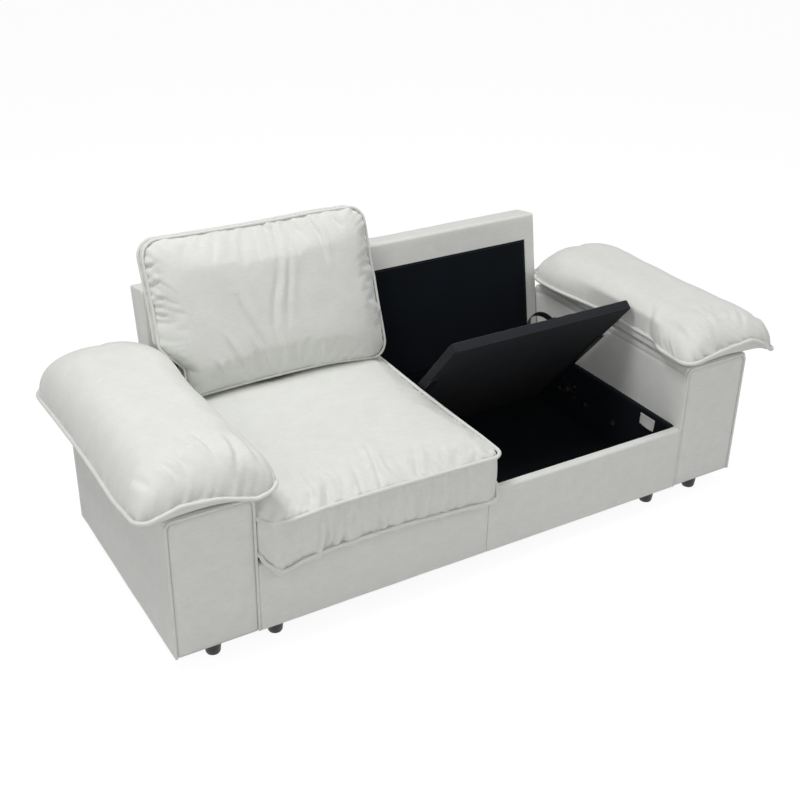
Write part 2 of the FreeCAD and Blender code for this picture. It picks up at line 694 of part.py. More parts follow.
def lid(word, side):
    """A plywood board in a padded black cover, on two steel brackets."""
    is_open = side > 0
    near, far = mirror_range(side, "lid_middle", "lid_side")
    rear = "lid_depth - pivot_back"
    cover_out = block(f"lid_cover_{word}_out", (near, far), ("-(pivot_back)", rear),
                      ("lid_low", "pivot_drop"))
    board_range = ((f"{near} + lid_cloth", f"{far} - lid_cloth"),
                   ("lid_cloth - pivot_back", f"{rear} - lid_cloth"),
                   ("lid_low + lid_cloth", "pivot_drop - lid_padding"))
    cover_in = block(f"lid_cover_{word}_in", *board_range)
    node(placed_on_pivot(cut(f"lid_cover_{word}", cover_out, cover_in), is_open))
    board = block(f"lid_board_{word}_plain", *board_range)
    node(placed_on_pivot(group(f"lid_board_{word}", board), is_open))
    brackets = [lid_bracket(f"lid_bracket_{word}_{end}", wall, step)
                for end, wall, step in pivot_stations(side)]
    node(placed_on_pivot(group(f"lid_brackets_{word}", *brackets), is_open))
    strap = solid(f"pull_strap_{word}", pull_strap(side, is_open))
    node(placed_on_pivot(strap, is_open))


plates = []
pins = []
screws = []
for word, side in SIDES:
    lid(word, side)
    holes = plate_screw_holes(f"plate_hole_{word}", side)
    for end, wall, step in pivot_stations(side):
        name = f"{word}_{end}"
        face = f"({wall}) + {step} * plate"
        plain = block(f"pivot_plate_{name}_plain", (wall, face) if step > 0 else (face, wall),
                      ("pivot_y - plate_half_length", "pivot_y + plate_half_length"),
                      ("pivot_z - plate_half_height", "pivot_z + plate_half_height"))
        own = [hole for hole in holes if f"_{end}_" in hole.Name]
        plates.append(cut(f"pivot_plate_{name}", plain, *own))
        reach = "(ear_gap + plate + pin_end_play)"
        head_place = (f"({face}) + {step} * {reach}", "pivot_y", "pivot_z")
        pins.append(bolt(f"pivot_pin_{name}", "x", head_place, -step, "pin_radius", reach,
                         "pin_head_radius", "pin_head"))
    for label, wall, step, y, z in plate_screw_places(side):
        start = (f"({wall}) + {step} * plate", y, z)
        screws.append(bolt(f"plate_screw_{word}_{label}", "x", start, -step, "screw_radius",
                           "screw_length", "screw_head_radius", "screw_head"))
node(group("pivot_plates", *plates))
node(group("pivot_pins", *pins))
node(group("plate_screws", *screws))


# Soft forms. Each is a loft through outlines of straight sides or shallow arcs.
def side_edge(start, end, dip, inward):
    """A side of an outline: straight, or an arc that dips inward in its middle."""
    if abs(dip) < 0.01:
        return Part.LineSegment(start, end)
    return Part.Arc(start, (start + end) / 2 + inward * dip, end)


def bay_edge(start, end, inward, places):
    """A side of an outline that stands back between the first and last places."""
    along = end - start
    stations = places if along.y > 0 else places[::-1]
    points = [Vector(start.x, y, start.z) + inward for y in stations]
    curve = Part.BSplineCurve()
    curve.interpolate(Points=[start] + points + [end], InitialTangent=along, FinalTangent=along)
    return curve


def outline(half_x, half_y, corners, flare=0.0, level=0.0, bay=None):
    """A closed outline about the origin. Corner radii run rear left, rear right,
    front right, front left. The flare, in degrees, makes the sides dip between
    their corners and stays tangent to the corner arcs. A bay gives a side, a depth
    and places along Y."""
    turn = math.radians(flare)
    out, back_by = math.sin(turn), math.cos(turn)
    quarters = ((-1, 1), (1, 1), (1, -1), (-1, -1))
    ends = []
    for (sx, sy), radius in zip(quarters, corners):
        cx = sx * (half_x - radius)
        cy = sy * (half_y - radius)
        on_side = Vector(cx + sx * radius * back_by, cy - sy * radius * out, level)
        on_end = Vector(cx - sx * radius * out, cy + sy * radius * back_by, level)
        tip = radius * math.sqrt(0.5)
        ends.append((on_side, Vector(cx + sx * tip, cy + sy * tip, level), on_end))
    (rl_side, rl_tip, rl_end), (rr_side, rr_tip, rr_end) = ends[0], ends[1]
    (fr_side, fr_tip, fr_end), (fl_side, fl_tip, fl_end) = ends[2], ends[3]

    def dip(a, b):
        return (b - a).Length / 2 * math.tan(turn / 2)

    def upright(sx, a, b):
        if bay and bay[0] == sx:
            return bay_edge(a, b, Vector(-sx * bay[1], 0, 0), bay[2])
        return side_edge(a, b, dip(a, b), Vector(-sx, 0, 0))

    edges = [
        Part.Arc(rl_side, rl_tip, rl_end),
        side_edge(rl_end, rr_end, dip(rl_end, rr_end), Vector(0, -1, 0)),
        Part.Arc(rr_end, rr_tip, rr_side),
        upright(1, rr_side, fr_side),
        Part.Arc(fr_side, fr_tip, fr_end),
        side_edge(fr_end, fl_end, dip(fr_end, fl_end), Vector(0, 1, 0)),
        Part.Arc(fl_end, fl_tip, fl_side),
        upright(-1, fl_side, rl_side),
    ]
    return Part.Wire([edge.toShape() for edge in edges])


def loft(sections):
    """A closed solid through the outlines, in order."""
    return Part.makeLoft(sections, True, True)


def swell(start, reach, inset, steps):
    """Levels and insets of a crown that rises from a seam and rounds off inwards, and
    how far each level has turned from upright, 0, to flat, 1."""
    full = math.radians(CROWN_TURN)
    for i in range(1, steps + 1):
        turn = full * i / steps
        yield (start + reach * math.sin(turn) / math.sin(full),
               inset * (1 - math.cos(turn)) / (1 - math.cos(full)),
               (math.sin(turn) / math.sin(full)) ** 2)


def welt(wire, diameter):
    """A piping tube along a closed outline."""
    edge = wire.OrderedEdges[1]
    start = edge.valueAt(edge.FirstParameter)
    section = Part.Circle(start, edge.tangentAt(edge.FirstParameter), diameter / 2).toShape()
    return wire.makePipeShell([Part.Wire([section])], True, False)


def cushion_body(half_x, half_y, corner, flare, profile, shrink=0.0):
    """A cushion lofted up through its levels. The profile gives level, inset, and how
    far the surface faces up, 1, or down, -1."""
    sections = []
    for level, inset, facing in profile:
        drawn = inset + shrink * SIDE_SHRINK
        radius = min(corner + drawn * ROUNDER, (min(half_x, half_y) - drawn) * ROUND_LIMIT)
        sections.append(outline(half_x - drawn, half_y - drawn, (radius,) * 4, flare,
                                level - shrink * facing))
    return loft(sections)


# Outlines get rounder as they draw in
ROUNDER = 0.45
ROUND_LIMIT = 0.9
# A crown turns this far from upright, in degrees, before its flat top
CROWN_TURN = 84
# The part of a welt that stands outside the seam
WELT_OUT = 0.25
# A cover's sides, with the welt's seam allowance, to its flat faces
SIDE_SHRINK = 1.5

# Seat cushion
cushion_welt = size("cushion_welt")
welt_out = cushion_welt * (0.5 + WELT_OUT)
seat_left = size("-(arm_inner) + fit")
seat_right = size("seat_past_middle")
seat_front = size("front - seat_overhang")
seat_rear = size("base_rear - lining / cos(back_lean) - fit")
seat_half_x = (seat_right - seat_left) / 2 - welt_out
seat_half_y = (seat_rear - seat_front) / 2 - welt_out
seat_place = Vector((seat_left + seat_right) / 2, (seat_front + seat_rear) / 2,
                    size("rim + fit"))
seat_tall = size("seat_crown - fit")
seat_low_seam = size("seat_low_seam")
seat_high_seam = size("seat_high_seam")
SEAT_FLARE = 1.6
seat_profile = [(seat_low_seam - level, inset, -facing) for level, inset, facing in
                swell(0, seat_low_seam, size("seat_foot"), 3)][::-1]
seat_profile += [(seat_low_seam, 0, 0),
                 ((seat_low_seam + seat_high_seam) / 2, size("seat_drawn_in"), 0),
                 (seat_high_seam, 0, 0)]
seat_profile += swell(seat_high_seam, seat_tall - seat_high_seam, size("seat_rounding"), 6)


def seat_form(shrink):
    body = cushion_body(seat_half_x, seat_half_y, size("seat_corner"), SEAT_FLARE,
                        seat_profile, shrink)
    body.translate(seat_place)
    return body


def seat_piping(level):
    wire = outline(seat_half_x + cushion_welt * WELT_OUT, seat_half_y + cushion_welt * WELT_OUT,
                   (size("seat_corner"),) * 4, SEAT_FLARE, level)
    tube = welt(wire, cushion_welt)
    tube.translate(seat_place)
    return tube


cover = size("cover")
core_shrink = size("cover + cover_play")
node(solid("seat_cushion", seat_form(0).cut(seat_form(cover))))
node(solid("seat_cushion_core", seat_form(core_shrink)))
node(solid("seat_cushion_piping",
           Part.makeCompound([seat_piping(seat_low_seam), seat_piping(seat_high_seam)])))

# Arm pillows
pad_half_x = size("(arm_width + pad_inner + pad_outer) / 2")
pad_half_y = size("(arm_depth + pad_overhang + pad_rear) / 2")
pad_welt = size("pad_welt")
pad_seam = size("pad_seam")
pad_tall = size("pad_height")
pad_bay = size("pad_bay")
pad_center_y = size("(front + arm_rear - pad_overhang + pad_rear) / 2")
pad_bay_places = [size(f"front + {place}") - pad_center_y for place in
                  ("pad_bay_start", "(pad_bay_start + pad_bay_end) / 2", "pad_bay_end")]
pad_clearance = size("pad_clearance")
# The inner rear corner is this much rounder than the others
PAD_REAR_CORNER = 1.95
# Level above the arm, inset from the seam, how far the surface faces up or down, and
# the part of the tilt kept there
pad_profile = [(pad_seam / 2, size("pad_tuck"), -0.5, 0.5), (pad_seam, 0, 0, 1.0)]
pad_profile += [(level, inset, facing, 1 - (level - pad_seam) / (pad_tall - pad_seam))
                for level, inset, facing in
                swell(pad_seam, pad_tall - pad_seam, size("pad_rounding"), 6)]


def pad_outline(side, level, inset, tilt, shrink):
    """One level of a pillow, tilted so that its outer edge hangs lower. The inner
    side of its lower levels stands back where the lid swings past."""
    drawn = inset + shrink
    corners = [size("pad_corner")] * 4
    corners[0 if side > 0 else 1] *= PAD_REAR_CORNER
    limit = (pad_half_x - drawn) * ROUND_LIMIT
    corners = [min(radius + drawn * ROUNDER, limit) for radius in corners]
    depth = pad_bay - inset
    bay = (-side, depth, pad_bay_places) if depth > 0 else None
    wire = outline(pad_half_x - drawn, pad_half_y - drawn, corners, bay=bay)
    lean = FreeCAD.Rotation(Vector(0, 1, 0), side * size("pad_tilt") * tilt)
    center = Vector(side * size("half_width - arm_width / 2 + (pad_outer - pad_inner) / 2"),
                    pad_center_y, size("arm_top") + level)
    wire.Placement = FreeCAD.Placement(center, lean)
    return wire


def pad_form(side, shrink):
    """A pillow: flat where it lies on the arm, widest at its seam, crowned above."""
    contact = outline(size("arm_width / 2 - pad_foot") - shrink,
                      size("arm_depth / 2 - pad_foot") - shrink, (size("pad_corner") / 2,) * 4)
    place = Vector(side * size("half_width - arm_width / 2"), size("(front + arm_rear) / 2"),
                   size("arm_top + fit") + shrink)
    contact.translate(place)
    sections = [contact]
    for level, inset, facing, tilt in pad_profile:
        sections.append(pad_outline(side, level - shrink * facing, inset, tilt,
                                    shrink * SIDE_SHRINK + pad_welt_out))
    return loft(sections)


def pad_shadow(grow):
    """The space beside and under the left pillow, kept by what is lifted past it."""
    inner = -size("arm_inner - pad_inner") + pad_clearance + grow
    seam_top = size("arm_top + (pad_seam + pad_height) / 2")
    crown = size("arm_top + pad_height") + pad_clearance + grow
    half = pad_half_x
    shoulder = seam_top + grow + size("pad_shoulder")
    corners = [(inner, size("rim")), (inner, seam_top), (inner - half * 0.12, shoulder),
               (inner - half * 0.3, crown - pad_clearance), (inner - half, crown),
               (inner - half, size("rim"))]
    y = size("front")
    points = [Vector(x, y, z) for x, z in corners]
    face = Part.Face(Part.makePolygon(points + points[:1]))
    return face.extrude(Vector(0, 2 * size("arm_depth"), 0))


def pad_filling(side, pillow_cover, seam):
    """The filling, kept clear of its cover and of the welt's seam allowance."""
    play = size("cover_play")
    moved = pillow_cover.copy()
    moved.translate(Vector(side * play / 2, 0, 0))
    return pad_form(side, core_shrink).cut([pillow_cover, moved, welt(seam, pad_welt + play)])


pad_welt_out = pad_welt * (0.5 + WELT_OUT)
for word, side in SIDES:
    pillow_cover = pad_form(side, 0).cut(pad_form(side, cover))
    seam_level, seam_inset, seam_facing, seam_tilt = pad_profile[1]
    seam = pad_outline(side, seam_level, seam_inset, seam_tilt, pad_welt / 2)
    node(solid(f"arm_pad_{word}", pillow_cover))
    node(solid(f"arm_pad_filling_{word}", pad_filling(side, pillow_cover, seam)))
    node(solid(f"arm_pad_piping_{word}", welt(seam, pad_welt)))

# Back cushion. It stands on the seat cushion and leans on the backrest's top edge.
back_half_x = size("back_cushion_width / 2") - welt_out
back_half_y = size("back_cushion_height / 2") - welt_out
half_edge = size("back_cushion_edge / 2")
front_crown = size("back_cushion_front")
rear_crown = size("back_cushion_rear")
BACK_FLARE = 1.3
back_profile = [(-half_edge - level, inset, -facing) for level, inset, facing in
                swell(0, rear_crown, size("back_rounding"), 5)][::-1]
back_profile += [(-half_edge, 0, 0), (0, size("back_drawn_in"), 0), (half_edge, 0, 0)]
back_profile += swell(half_edge, front_crown, size("back_rounding"), 5)


def back_cushion_place():
    """Stood on the seat cushion's crown and leant on the backrest's top edge."""
    lean = math.radians(size("back_cushion_lean"))
    up = size("rim + seat_crown + fit") + size("back_cushion_height / 2") * math.cos(lean)
    up += half_edge * math.sin(lean)
    edge_y = size("front + box_depth + back_length * sin(back_lean)")
    edge_z = size("rim + back_length * cos(back_lean)")
    depth = half_edge + rear_crown + size("fit")
    y = edge_y - (depth + math.sin(lean) * (edge_z - up)) / math.cos(lean)
    x = size("back_cushion_past_middle - back_cushion_width / 2")
    turn = FreeCAD.Rotation(Vector(1, 0, 0), 90 - size("back_cushion_lean"))
    return FreeCAD.Placement(Vector(x, y, up), turn)


def back_form(shrink):
    body = cushion_body(back_half_x, back_half_y, size("back_cushion_corner"), BACK_FLARE,
                        back_profile, shrink)
    body.Placement = back_cushion_place()
    return body.cut(pad_shadow(shrink))


def back_piping(level):
    wire = outline(back_half_x + cushion_welt * WELT_OUT, back_half_y + cushion_welt * WELT_OUT,
                   (size("back_cushion_corner"),) * 4, BACK_FLARE, level)
    tube = welt(wire, cushion_welt)
    tube.Placement = back_cushion_place()
    return tube.cut(pad_shadow(0))


node(solid("back_cushion", back_form(0).cut(back_form(cover))))
node(solid("back_cushion_filling", back_form(core_shrink)))
node(solid("back_cushion_piping",
           Part.makeCompound([back_piping(-half_edge), back_piping(half_edge)])))

doc.recompute()
for thing in doc.Objects:
    if "Invalid" in thing.State or "Error" in thing.State:
        raise RuntimeError(f"{thing.Name} failed: {thing.State}")
for thing in NODES:
    if thing.Shape.isNull() or not thing.Shape.isValid():
        raise RuntimeError(f"{thing.Label} has no valid shape")

os.makedirs("parts", exist_ok=True)
for thing in NODES:
    thing.Shape.exportStep(f"parts/{thing.Label}.step")
print(len(NODES), "sub-parts")
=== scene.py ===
"""Storage sofa with a lift-up seat: dresses the packed model as the real one looks.

Laid out as an add-on. Metres, +X to the viewer's right, +Y to the rear, +Z up.
"""

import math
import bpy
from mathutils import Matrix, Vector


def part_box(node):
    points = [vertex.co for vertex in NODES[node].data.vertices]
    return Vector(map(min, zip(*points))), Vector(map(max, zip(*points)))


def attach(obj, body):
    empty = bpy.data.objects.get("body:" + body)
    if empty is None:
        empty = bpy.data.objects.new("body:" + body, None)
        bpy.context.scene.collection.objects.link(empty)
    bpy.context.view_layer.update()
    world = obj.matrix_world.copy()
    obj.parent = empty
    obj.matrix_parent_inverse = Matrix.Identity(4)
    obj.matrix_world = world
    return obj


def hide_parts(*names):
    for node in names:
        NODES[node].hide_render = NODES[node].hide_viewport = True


bl_info = {
    "name": "Storage sofa",
    "version": (1, 0, 0),
    "blender": (4, 5, 0),
    "location": "View3D > Sidebar > Sofa",
    "description": "Builds a two-seat storage sofa with one seat lid raised",
    "category": "Object",
}

import bmesh
import bpy
import numpy as np
from bpy.props import FloatProperty, FloatVectorProperty, IntProperty, PointerProperty
from mathutils import Matrix, Vector, noise

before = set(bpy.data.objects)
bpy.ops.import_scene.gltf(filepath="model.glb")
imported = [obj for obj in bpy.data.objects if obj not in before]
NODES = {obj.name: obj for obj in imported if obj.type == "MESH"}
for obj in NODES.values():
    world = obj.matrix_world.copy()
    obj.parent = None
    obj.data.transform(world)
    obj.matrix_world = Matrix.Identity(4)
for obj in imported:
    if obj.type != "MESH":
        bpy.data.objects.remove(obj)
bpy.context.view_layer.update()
SIDES = (("left", -1), ("right", 1))
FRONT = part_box("base_cover_right")[0].y
ARM_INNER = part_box("arm_cover_right")[0].x
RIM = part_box("base_cover_right")[1].z
# Height and place of the lids' pivots, and how far the right lid stands open, in degrees
PIVOT = tuple((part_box("pivot_pins")[0][k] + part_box("pivot_pins")[1][k]) / 2 for k in (1, 2))
LID_OPEN = 50.0


def linear(code):
    """An sRGB hex colour as linear numbers."""
    channels = [int(code[i:i + 2], 16) / 255 for i in (1, 3, 5)]
    return tuple(c / 12.92 if c <= 0.04045 else ((c + 0.055) / 1.055) ** 2.4 for c in channels)


def length(name, description, default):
    """A length in metres."""
    return FloatProperty(name=name, description=description, default=default, unit="LENGTH")


def dye(name, description, code):
    """A colour, given as sRGB hex."""
    return FloatVectorProperty(name=name, description=description, subtype="COLOR", size=3,
                               min=0, max=1, default=linear(code))


class SofaSizes(bpy.types.PropertyGroup):
    grid: length("Cloth grid", "Spacing of the cushions' cloth points", 0.0085)
    seat_welt: length("Seat piping", "Diameter of the seat cushion's piping", 0.0120)
    back_welt: length("Back piping", "Diameter of the back cushion's piping", 0.009)
    pad_welt: length("Pillow piping", "Diameter of the arm pillows' piping", 0.0125)
    arm_welt: length("Arm piping", "Diameter of the arm fronts' piping", 0.009)
    stitch: length("Stitch", "Length of one stitch with its gap", 0.006)
    pressure: FloatProperty(name="Fill pressure", description="Push of the filling on its cover",
                            default=4.0)
    sim_frames: IntProperty(name="Settling steps", description="Cloth steps for each cushion",
                            default=20)


class SofaColours(bpy.types.PropertyGroup):
    fabric: dye("Upholstery", "Colour of the upholstery", "#DEDFDB")
    lining: dye("Lining", "Colour of the felt lining", "#0B1016")
    lid: dye("Lid cloth", "Colour of the lid's cloth", "#0C1016")
    feet: dye("Feet", "Colour of the moulded feet", "#151515")


def sizes():
    return bpy.context.scene.sofa_sizes


def colours():
    return bpy.context.scene.sofa_colours


# Materials
def add(tree, kind, settings=None, **inputs):
    """Adds a node with its settings. An input is a value, or the socket linked to it."""
    made = tree.nodes.new(kind)
    for name, value in (settings or {}).items():
        setattr(made, name, value)
    for name, value in inputs.items():
        key = int(name[1:]) if name[0] == "i" and name[1:].isdigit() else name.replace("_", " ")
        socket = made.inputs[key]
        if isinstance(value, bpy.types.NodeSocket):
            tree.links.new(value, socket)
        else:
            socket.default_value = value
    return made


class Surface:
    """A material with plain shader values, whose colour and bumps are added in turn."""

    def __init__(self, name, **values):
        self.material = bpy.data.materials.new(name)
        self.material.use_nodes = True
        self.tree = self.material.node_tree
        self.principled = self.tree.nodes["Principled BSDF"]
        for key, value in values.items():
            self.principled.inputs[key.replace("_", " ")].default_value = value
        self.place = add(self.tree, "ShaderNodeTexCoord").outputs["Object"]
        self.below = {}

    def drawn(self, *scale):
        """The object's coordinates, drawn out along its axes."""
        return add(self.tree, "ShaderNodeMapping", Vector=self.place, Scale=scale).outputs[0]

    def noise(self, scale, detail=2.0, place=None, **inputs):
        place = self.place if place is None else place
        return add(self.tree, "ShaderNodeTexNoise", Vector=place, Scale=scale, Detail=detail,
                   **inputs).outputs[0]

    def yarns(self, scale):
        return add(self.tree, "ShaderNodeTexVoronoi", Vector=self.place,
                   Scale=scale).outputs["Distance"]

    def ribs(self, direction, scale, **inputs):
        return add(self.tree, "ShaderNodeTexWave", {"bands_direction": direction},
                   Vector=self.place, Scale=scale, **inputs).outputs["Fac"]

    def tint(self, factor, low, high):
        """Colours it between two colours, as the factor runs."""
        mix = add(self.tree, "ShaderNodeMix", {"data_type": "RGBA"}, Factor=factor)
        mix.inputs[6].default_value = (*low, 1)
        mix.inputs[7].default_value = (*high, 1)
        self.tree.links.new(mix.outputs[2], self.principled.inputs["Base Color"])

    def mottle(self, factor, colour, low, high):
        """Colours it between a darker and a lighter share of one colour."""
        self.tint(factor, *(tuple(min(1, c * share) for c in colour) for share in (low, high)))

    def bump(self, height, strength, distance):
        """Bumps it by a height, on top of the bump before."""
        bump = add(self.tree, "ShaderNodeBump", Strength=strength, Distance=distance,
                   Height=height, **self.below)
        self.below = {"Normal": bump.outputs[0]}
        self.tree.links.new(bump.outputs[0], self.principled.inputs["Normal"])


def upholstery():
    """Short-pile woven upholstery: soft and matt, its yarns drawn across the sofa."""
    cloth = Surface("ShortPileUpholstery", Roughness=0.9, Specular_IOR_Level=0.15,
                    Sheen_Weight=0.16, Sheen_Roughness=0.5)
    # The pile lies over in patches about 50 mm across
    patch = cloth.noise(20.0, 4.0, Roughness=0.65)
    # Slubs in the yarns, 4 mm apart and 25 mm long
    slub = cloth.noise(250.0, 3.0, cloth.drawn(0.16, 1.0, 1.0), Roughness=0.7)
    blend = add(cloth.tree, "ShaderNodeMath", {"operation": "MULTIPLY_ADD"}, i0=slub, i1=1.3,
                i2=patch)
    reach = add(cloth.tree, "ShaderNodeMapRange", Value=blend.outputs[0], i1=0.75, i2=1.55)
    cloth.mottle(reach.outputs[0], colours().fabric, 0.945, 1.05)
    # Weave of 1.6 mm yarns, drawn coarser than the real 0.6 mm so that it shows
    cloth.bump(cloth.yarns(620.0), 0.25, 0.0006)
    cloth.bump(slub, 0.35, 0.0012)
    return cloth.material


def felt():
    """Needled black felt: matt, with short fibres that catch a little light."""
    cloth = Surface("BlackNeedleFelt", Roughness=0.95, Specular_IOR_Level=0.1,
                    Sheen_Weight=0.03, Sheen_Roughness=0.5)
    cloth.mottle(cloth.noise(9.0, 4.0), colours().lining, 0.7, 1.3)
    cloth.bump(cloth.noise(5.0), 0.35, 0.012)
    cloth.bump(cloth.noise(420.0, 3.0, Roughness=0.7), 0.3, 0.0012)
    return cloth.material


def lid_cloth():
    """Black polyester cloth stretched over foam: a fine grain and a slight shine."""
    cloth = Surface("BlackLidCloth", Roughness=0.7, Specular_IOR_Level=0.25,
                    Sheen_Weight=0.03, Sheen_Roughness=0.4)
    cloth.mottle(cloth.noise(14.0, 3.0), colours().lid, 0.75, 1.25)
    cloth.bump(cloth.noise(7.0), 0.3, 0.010)
    cloth.bump(cloth.yarns(700.0), 0.3, 0.0006)
    return cloth.material


def webbing():
    """Black woven nylon webbing: ribs 1.5 mm apart across its length."""
    strap = Surface("BlackNylonWebbing", Roughness=0.5, Specular_IOR_Level=0.4)
    ribs = strap.ribs("X", 105.0, Distortion=0.6)
    strap.tint(ribs, linear("#0C0E12"), linear("#23272E"))
    strap.bump(ribs, 0.5, 0.0008)
    return strap.material


def moulded():
    """Moulded black ABS: an even colour with the fine grain of a spark-eroded mould."""
    plastic = Surface("MouldedBlackABS", Roughness=0.42, IOR=1.53)
    plastic.mottle(plastic.noise(30.0), colours().feet, 0.85, 1.15)
    plastic.bump(plastic.noise(900.0), 0.2, 0.0003)
    return plastic.material


def steel(name, code, rough, metallic):
    """Pressed steel: zinc-plated or powder-coated, with the coat's fine unevenness."""
    metal = Surface(name, Roughness=rough, Metallic=metallic)
    metal.mottle(metal.noise(120.0, 3.0), linear(code), 0.85, 1.1)
    metal.bump(metal.noise(800.0), 0.12, 0.0003)
    return metal.material


def timber():
    """Sawn poplar boards and plywood: pale, with grain lines 8 mm apart."""
    board = Surface("SawnPoplar", Roughness=0.7)
    grain = board.noise(20.0, 5.0, board.drawn(1.0, 6.0, 1.0), Distortion=1.2)
    board.tint(grain, linear("#A98557"), linear("#D9BE93"))
    board.bump(grain, 0.2, 0.0006)
    return board.material


def satin():
    """White satin ribbon: smooth, with a thread line each millimetre."""
    ribbon = Surface("WhiteSatinRibbon", Roughness=0.45)
    lines = ribbon.ribs("Z", 160.0)
    ribbon.tint(lines, linear("#C9C9C7"), linear("#DADAD8"))
    ribbon.bump(lines, 0.2, 0.0003)
    return ribbon.material


def thread(name, code):
    """Bonded polyester thread: lightly waxed, a touch shinier than the cloth."""
    yarn = Surface(name, Roughness=0.55)
    yarn.mottle(yarn.noise(1500.0), linear(code), 0.8, 1.15)
    return yarn.material


FINISHES = {}


def finish(name):
    makers = {
        "upholstery": upholstery,
        "felt": felt,
        "lid": lid_cloth,
        "webbing": webbing,
        "feet": moulded,
        "zinc": lambda: steel("ZincPlatedSteel", "#A9ABAD", 0.38, 1.0),
        "coated": lambda: steel("PowderCoatedSteel", "#141518", 0.5, 0.0),
        "timber": timber,
        "satin": satin,
        "grey_thread": lambda: thread("GreyPolyesterThread", "#9FA19C"),
        "black_thread": lambda: thread("BlackPolyesterThread", "#2A2E36"),
    }
    if name not in FINISHES:
        FINISHES[name] = makers[name]()
    return FINISHES[name]


def dress(node, name):
    """Gives a carried-over node its finish."""
    slots = NODES[node].data.materials
    slots.clear()
    slots.append(finish(name))


# Meshes
def make(name, vertices, faces, finish_name, smooth=True):
    mesh = bpy.data.meshes.new(name)
    mesh.from_pydata([tuple(v) for v in vertices], [], [tuple(f) for f in faces])
    mesh.polygons.foreach_set("use_smooth", [smooth] * len(mesh.polygons))
    made = bpy.data.objects.new(name, mesh)
    bpy.context.scene.collection.objects.link(made)
    if finish_name:
        made.data.materials.append(finish(finish_name))
    return made


def baked(thing):
    """Turns what the modifiers make into the object's own mesh."""
    view = bpy.context.evaluated_depsgraph_get()
    mesh = bpy.data.meshes.new_from_object(thing.evaluated_get(view))
    thing.modifiers.clear()
    old = thing.data
    thing.data = mesh
    mesh.name = thing.name
    bpy.data.meshes.remove(old) if old.users == 0 else None
    mesh.polygons.foreach_set("use_smooth", [True] * len(mesh.polygons))
    return thing


def triples(items, name):
    """The vector that each of a mesh's items holds under a name."""
    flat = np.empty(len(items) * 3)
    items.foreach_get(name, flat)
    return flat.reshape(-1, 3)


def points_of(thing):
    return triples(thing.data.vertices, "co")


def normals_of(thing):
    return triples(thing.data.vertices, "normal")


def put_points(thing, points):
    thing.data.vertices.foreach_set("co", points.ravel())
    thing.data.update()


def outward(thing):
    """Turns every face outwards."""
    mesh = bmesh.new()
    mesh.from_mesh(thing.data)
    bmesh.ops.remove_doubles(mesh, verts=mesh.verts, dist=1e-6)
    bmesh.ops.recalc_face_normals(mesh, faces=mesh.faces)
    mesh.to_mesh(thing.data)
    mesh.free()
    return thing


def ride_on(thing, body, slot, *nodes):
    """Hands a finished piece over: what it rides on, its slot, which is not used, and what it
    stands for.
    """
    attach(thing, body)
    if nodes:
        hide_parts(*nodes)
    return thing


def at_level(flat, z):
    """Points of a plane, all at one height."""
    return np.column_stack((flat, np.full(len(flat), z)))


def noise_at(places):
    """Smooth noise at each place."""
    return np.array([noise.noise(tuple(place)) for place in places])


def thicken(thing, thickness, offset=-1.0):
    """Gives a sheet its thickness, towards one side."""
    modifier = thing.modifiers.new("thickness", "SOLIDIFY")
    modifier.thickness, modifier.offset = thickness, offset
    return baked(thing)


def fade(value, low, high):
    """0 below low, 1 above high, smooth between."""
    t = np.clip((value - low) / (high - low), 0, 1)
    return t * t * (3 - 2 * t)


# Cushions: panels of concentric rings, from the seam to the crown
def ring(half_x, half_y, radii, pull, across, along, bay=None):
    """Points clockwise round a soft rectangle from its rear left tip: across cells on
    the rear and front, along cells on the sides. Pull draws each side in between its
    corners. A bay gives a side and how far it stands back at each place along Y."""
    corners = ((-1, 1), (1, 1), (1, -1), (-1, -1))
    centres = [np.array((sx * (half_x - r), sy * (half_y - r))) for (sx, sy), r in
               zip(corners, radii)]
    found = []
    for i, (facing, cells) in enumerate(((90, across), (0, along), (-90, across), (180, along))):
        a, b = centres[i], centres[(i + 1) % 4]
        ra, rb = radii[i], radii[(i + 1) % 4]

        def arc(centre, radius, start, end):
            turn = np.radians(np.linspace(start, end, 13))
            return centre + radius * np.stack((np.cos(turn), np.sin(turn)), 1)

        first = arc(a, ra, facing + 45, facing)
        last = arc(b, rb, facing, facing - 45)
        t = np.linspace(0, 1, 42)[1:-1, None]
        way = np.array((math.cos(math.radians(facing)), math.sin(math.radians(facing))))
        middle = first[-1] * (1 - t) + last[0] * t - way * pull * np.sin(np.pi * t) ** 1.2
        line = np.concatenate((first, middle, last))
        if bay and bay[0] == i:
            line = line - way * bay[1](line[:, 1])[:, None]
        run = np.concatenate(([0], np.cumsum(np.linalg.norm(np.diff(line, axis=0), axis=1))))
        stations = np.linspace(0, run[-1], cells + 1)[:-1]
        found.append(np.stack([np.interp(stations, run, line[:, k]) for k in (0, 1)], 1))
    return np.concatenate(found)


def ring_places(k, across, along):
    """Grid places of ring k in the order of ring's points."""
    left, right, front, rear = k, across - k, k, along - k
    places = [(i, rear) for i in range(left, right)]
    places += [(right, j) for j in range(rear, front, -1)]
    places += [(i, front) for i in range(right, left, -1)]
    places += [(left, j) for j in range(front, rear)]
    return places


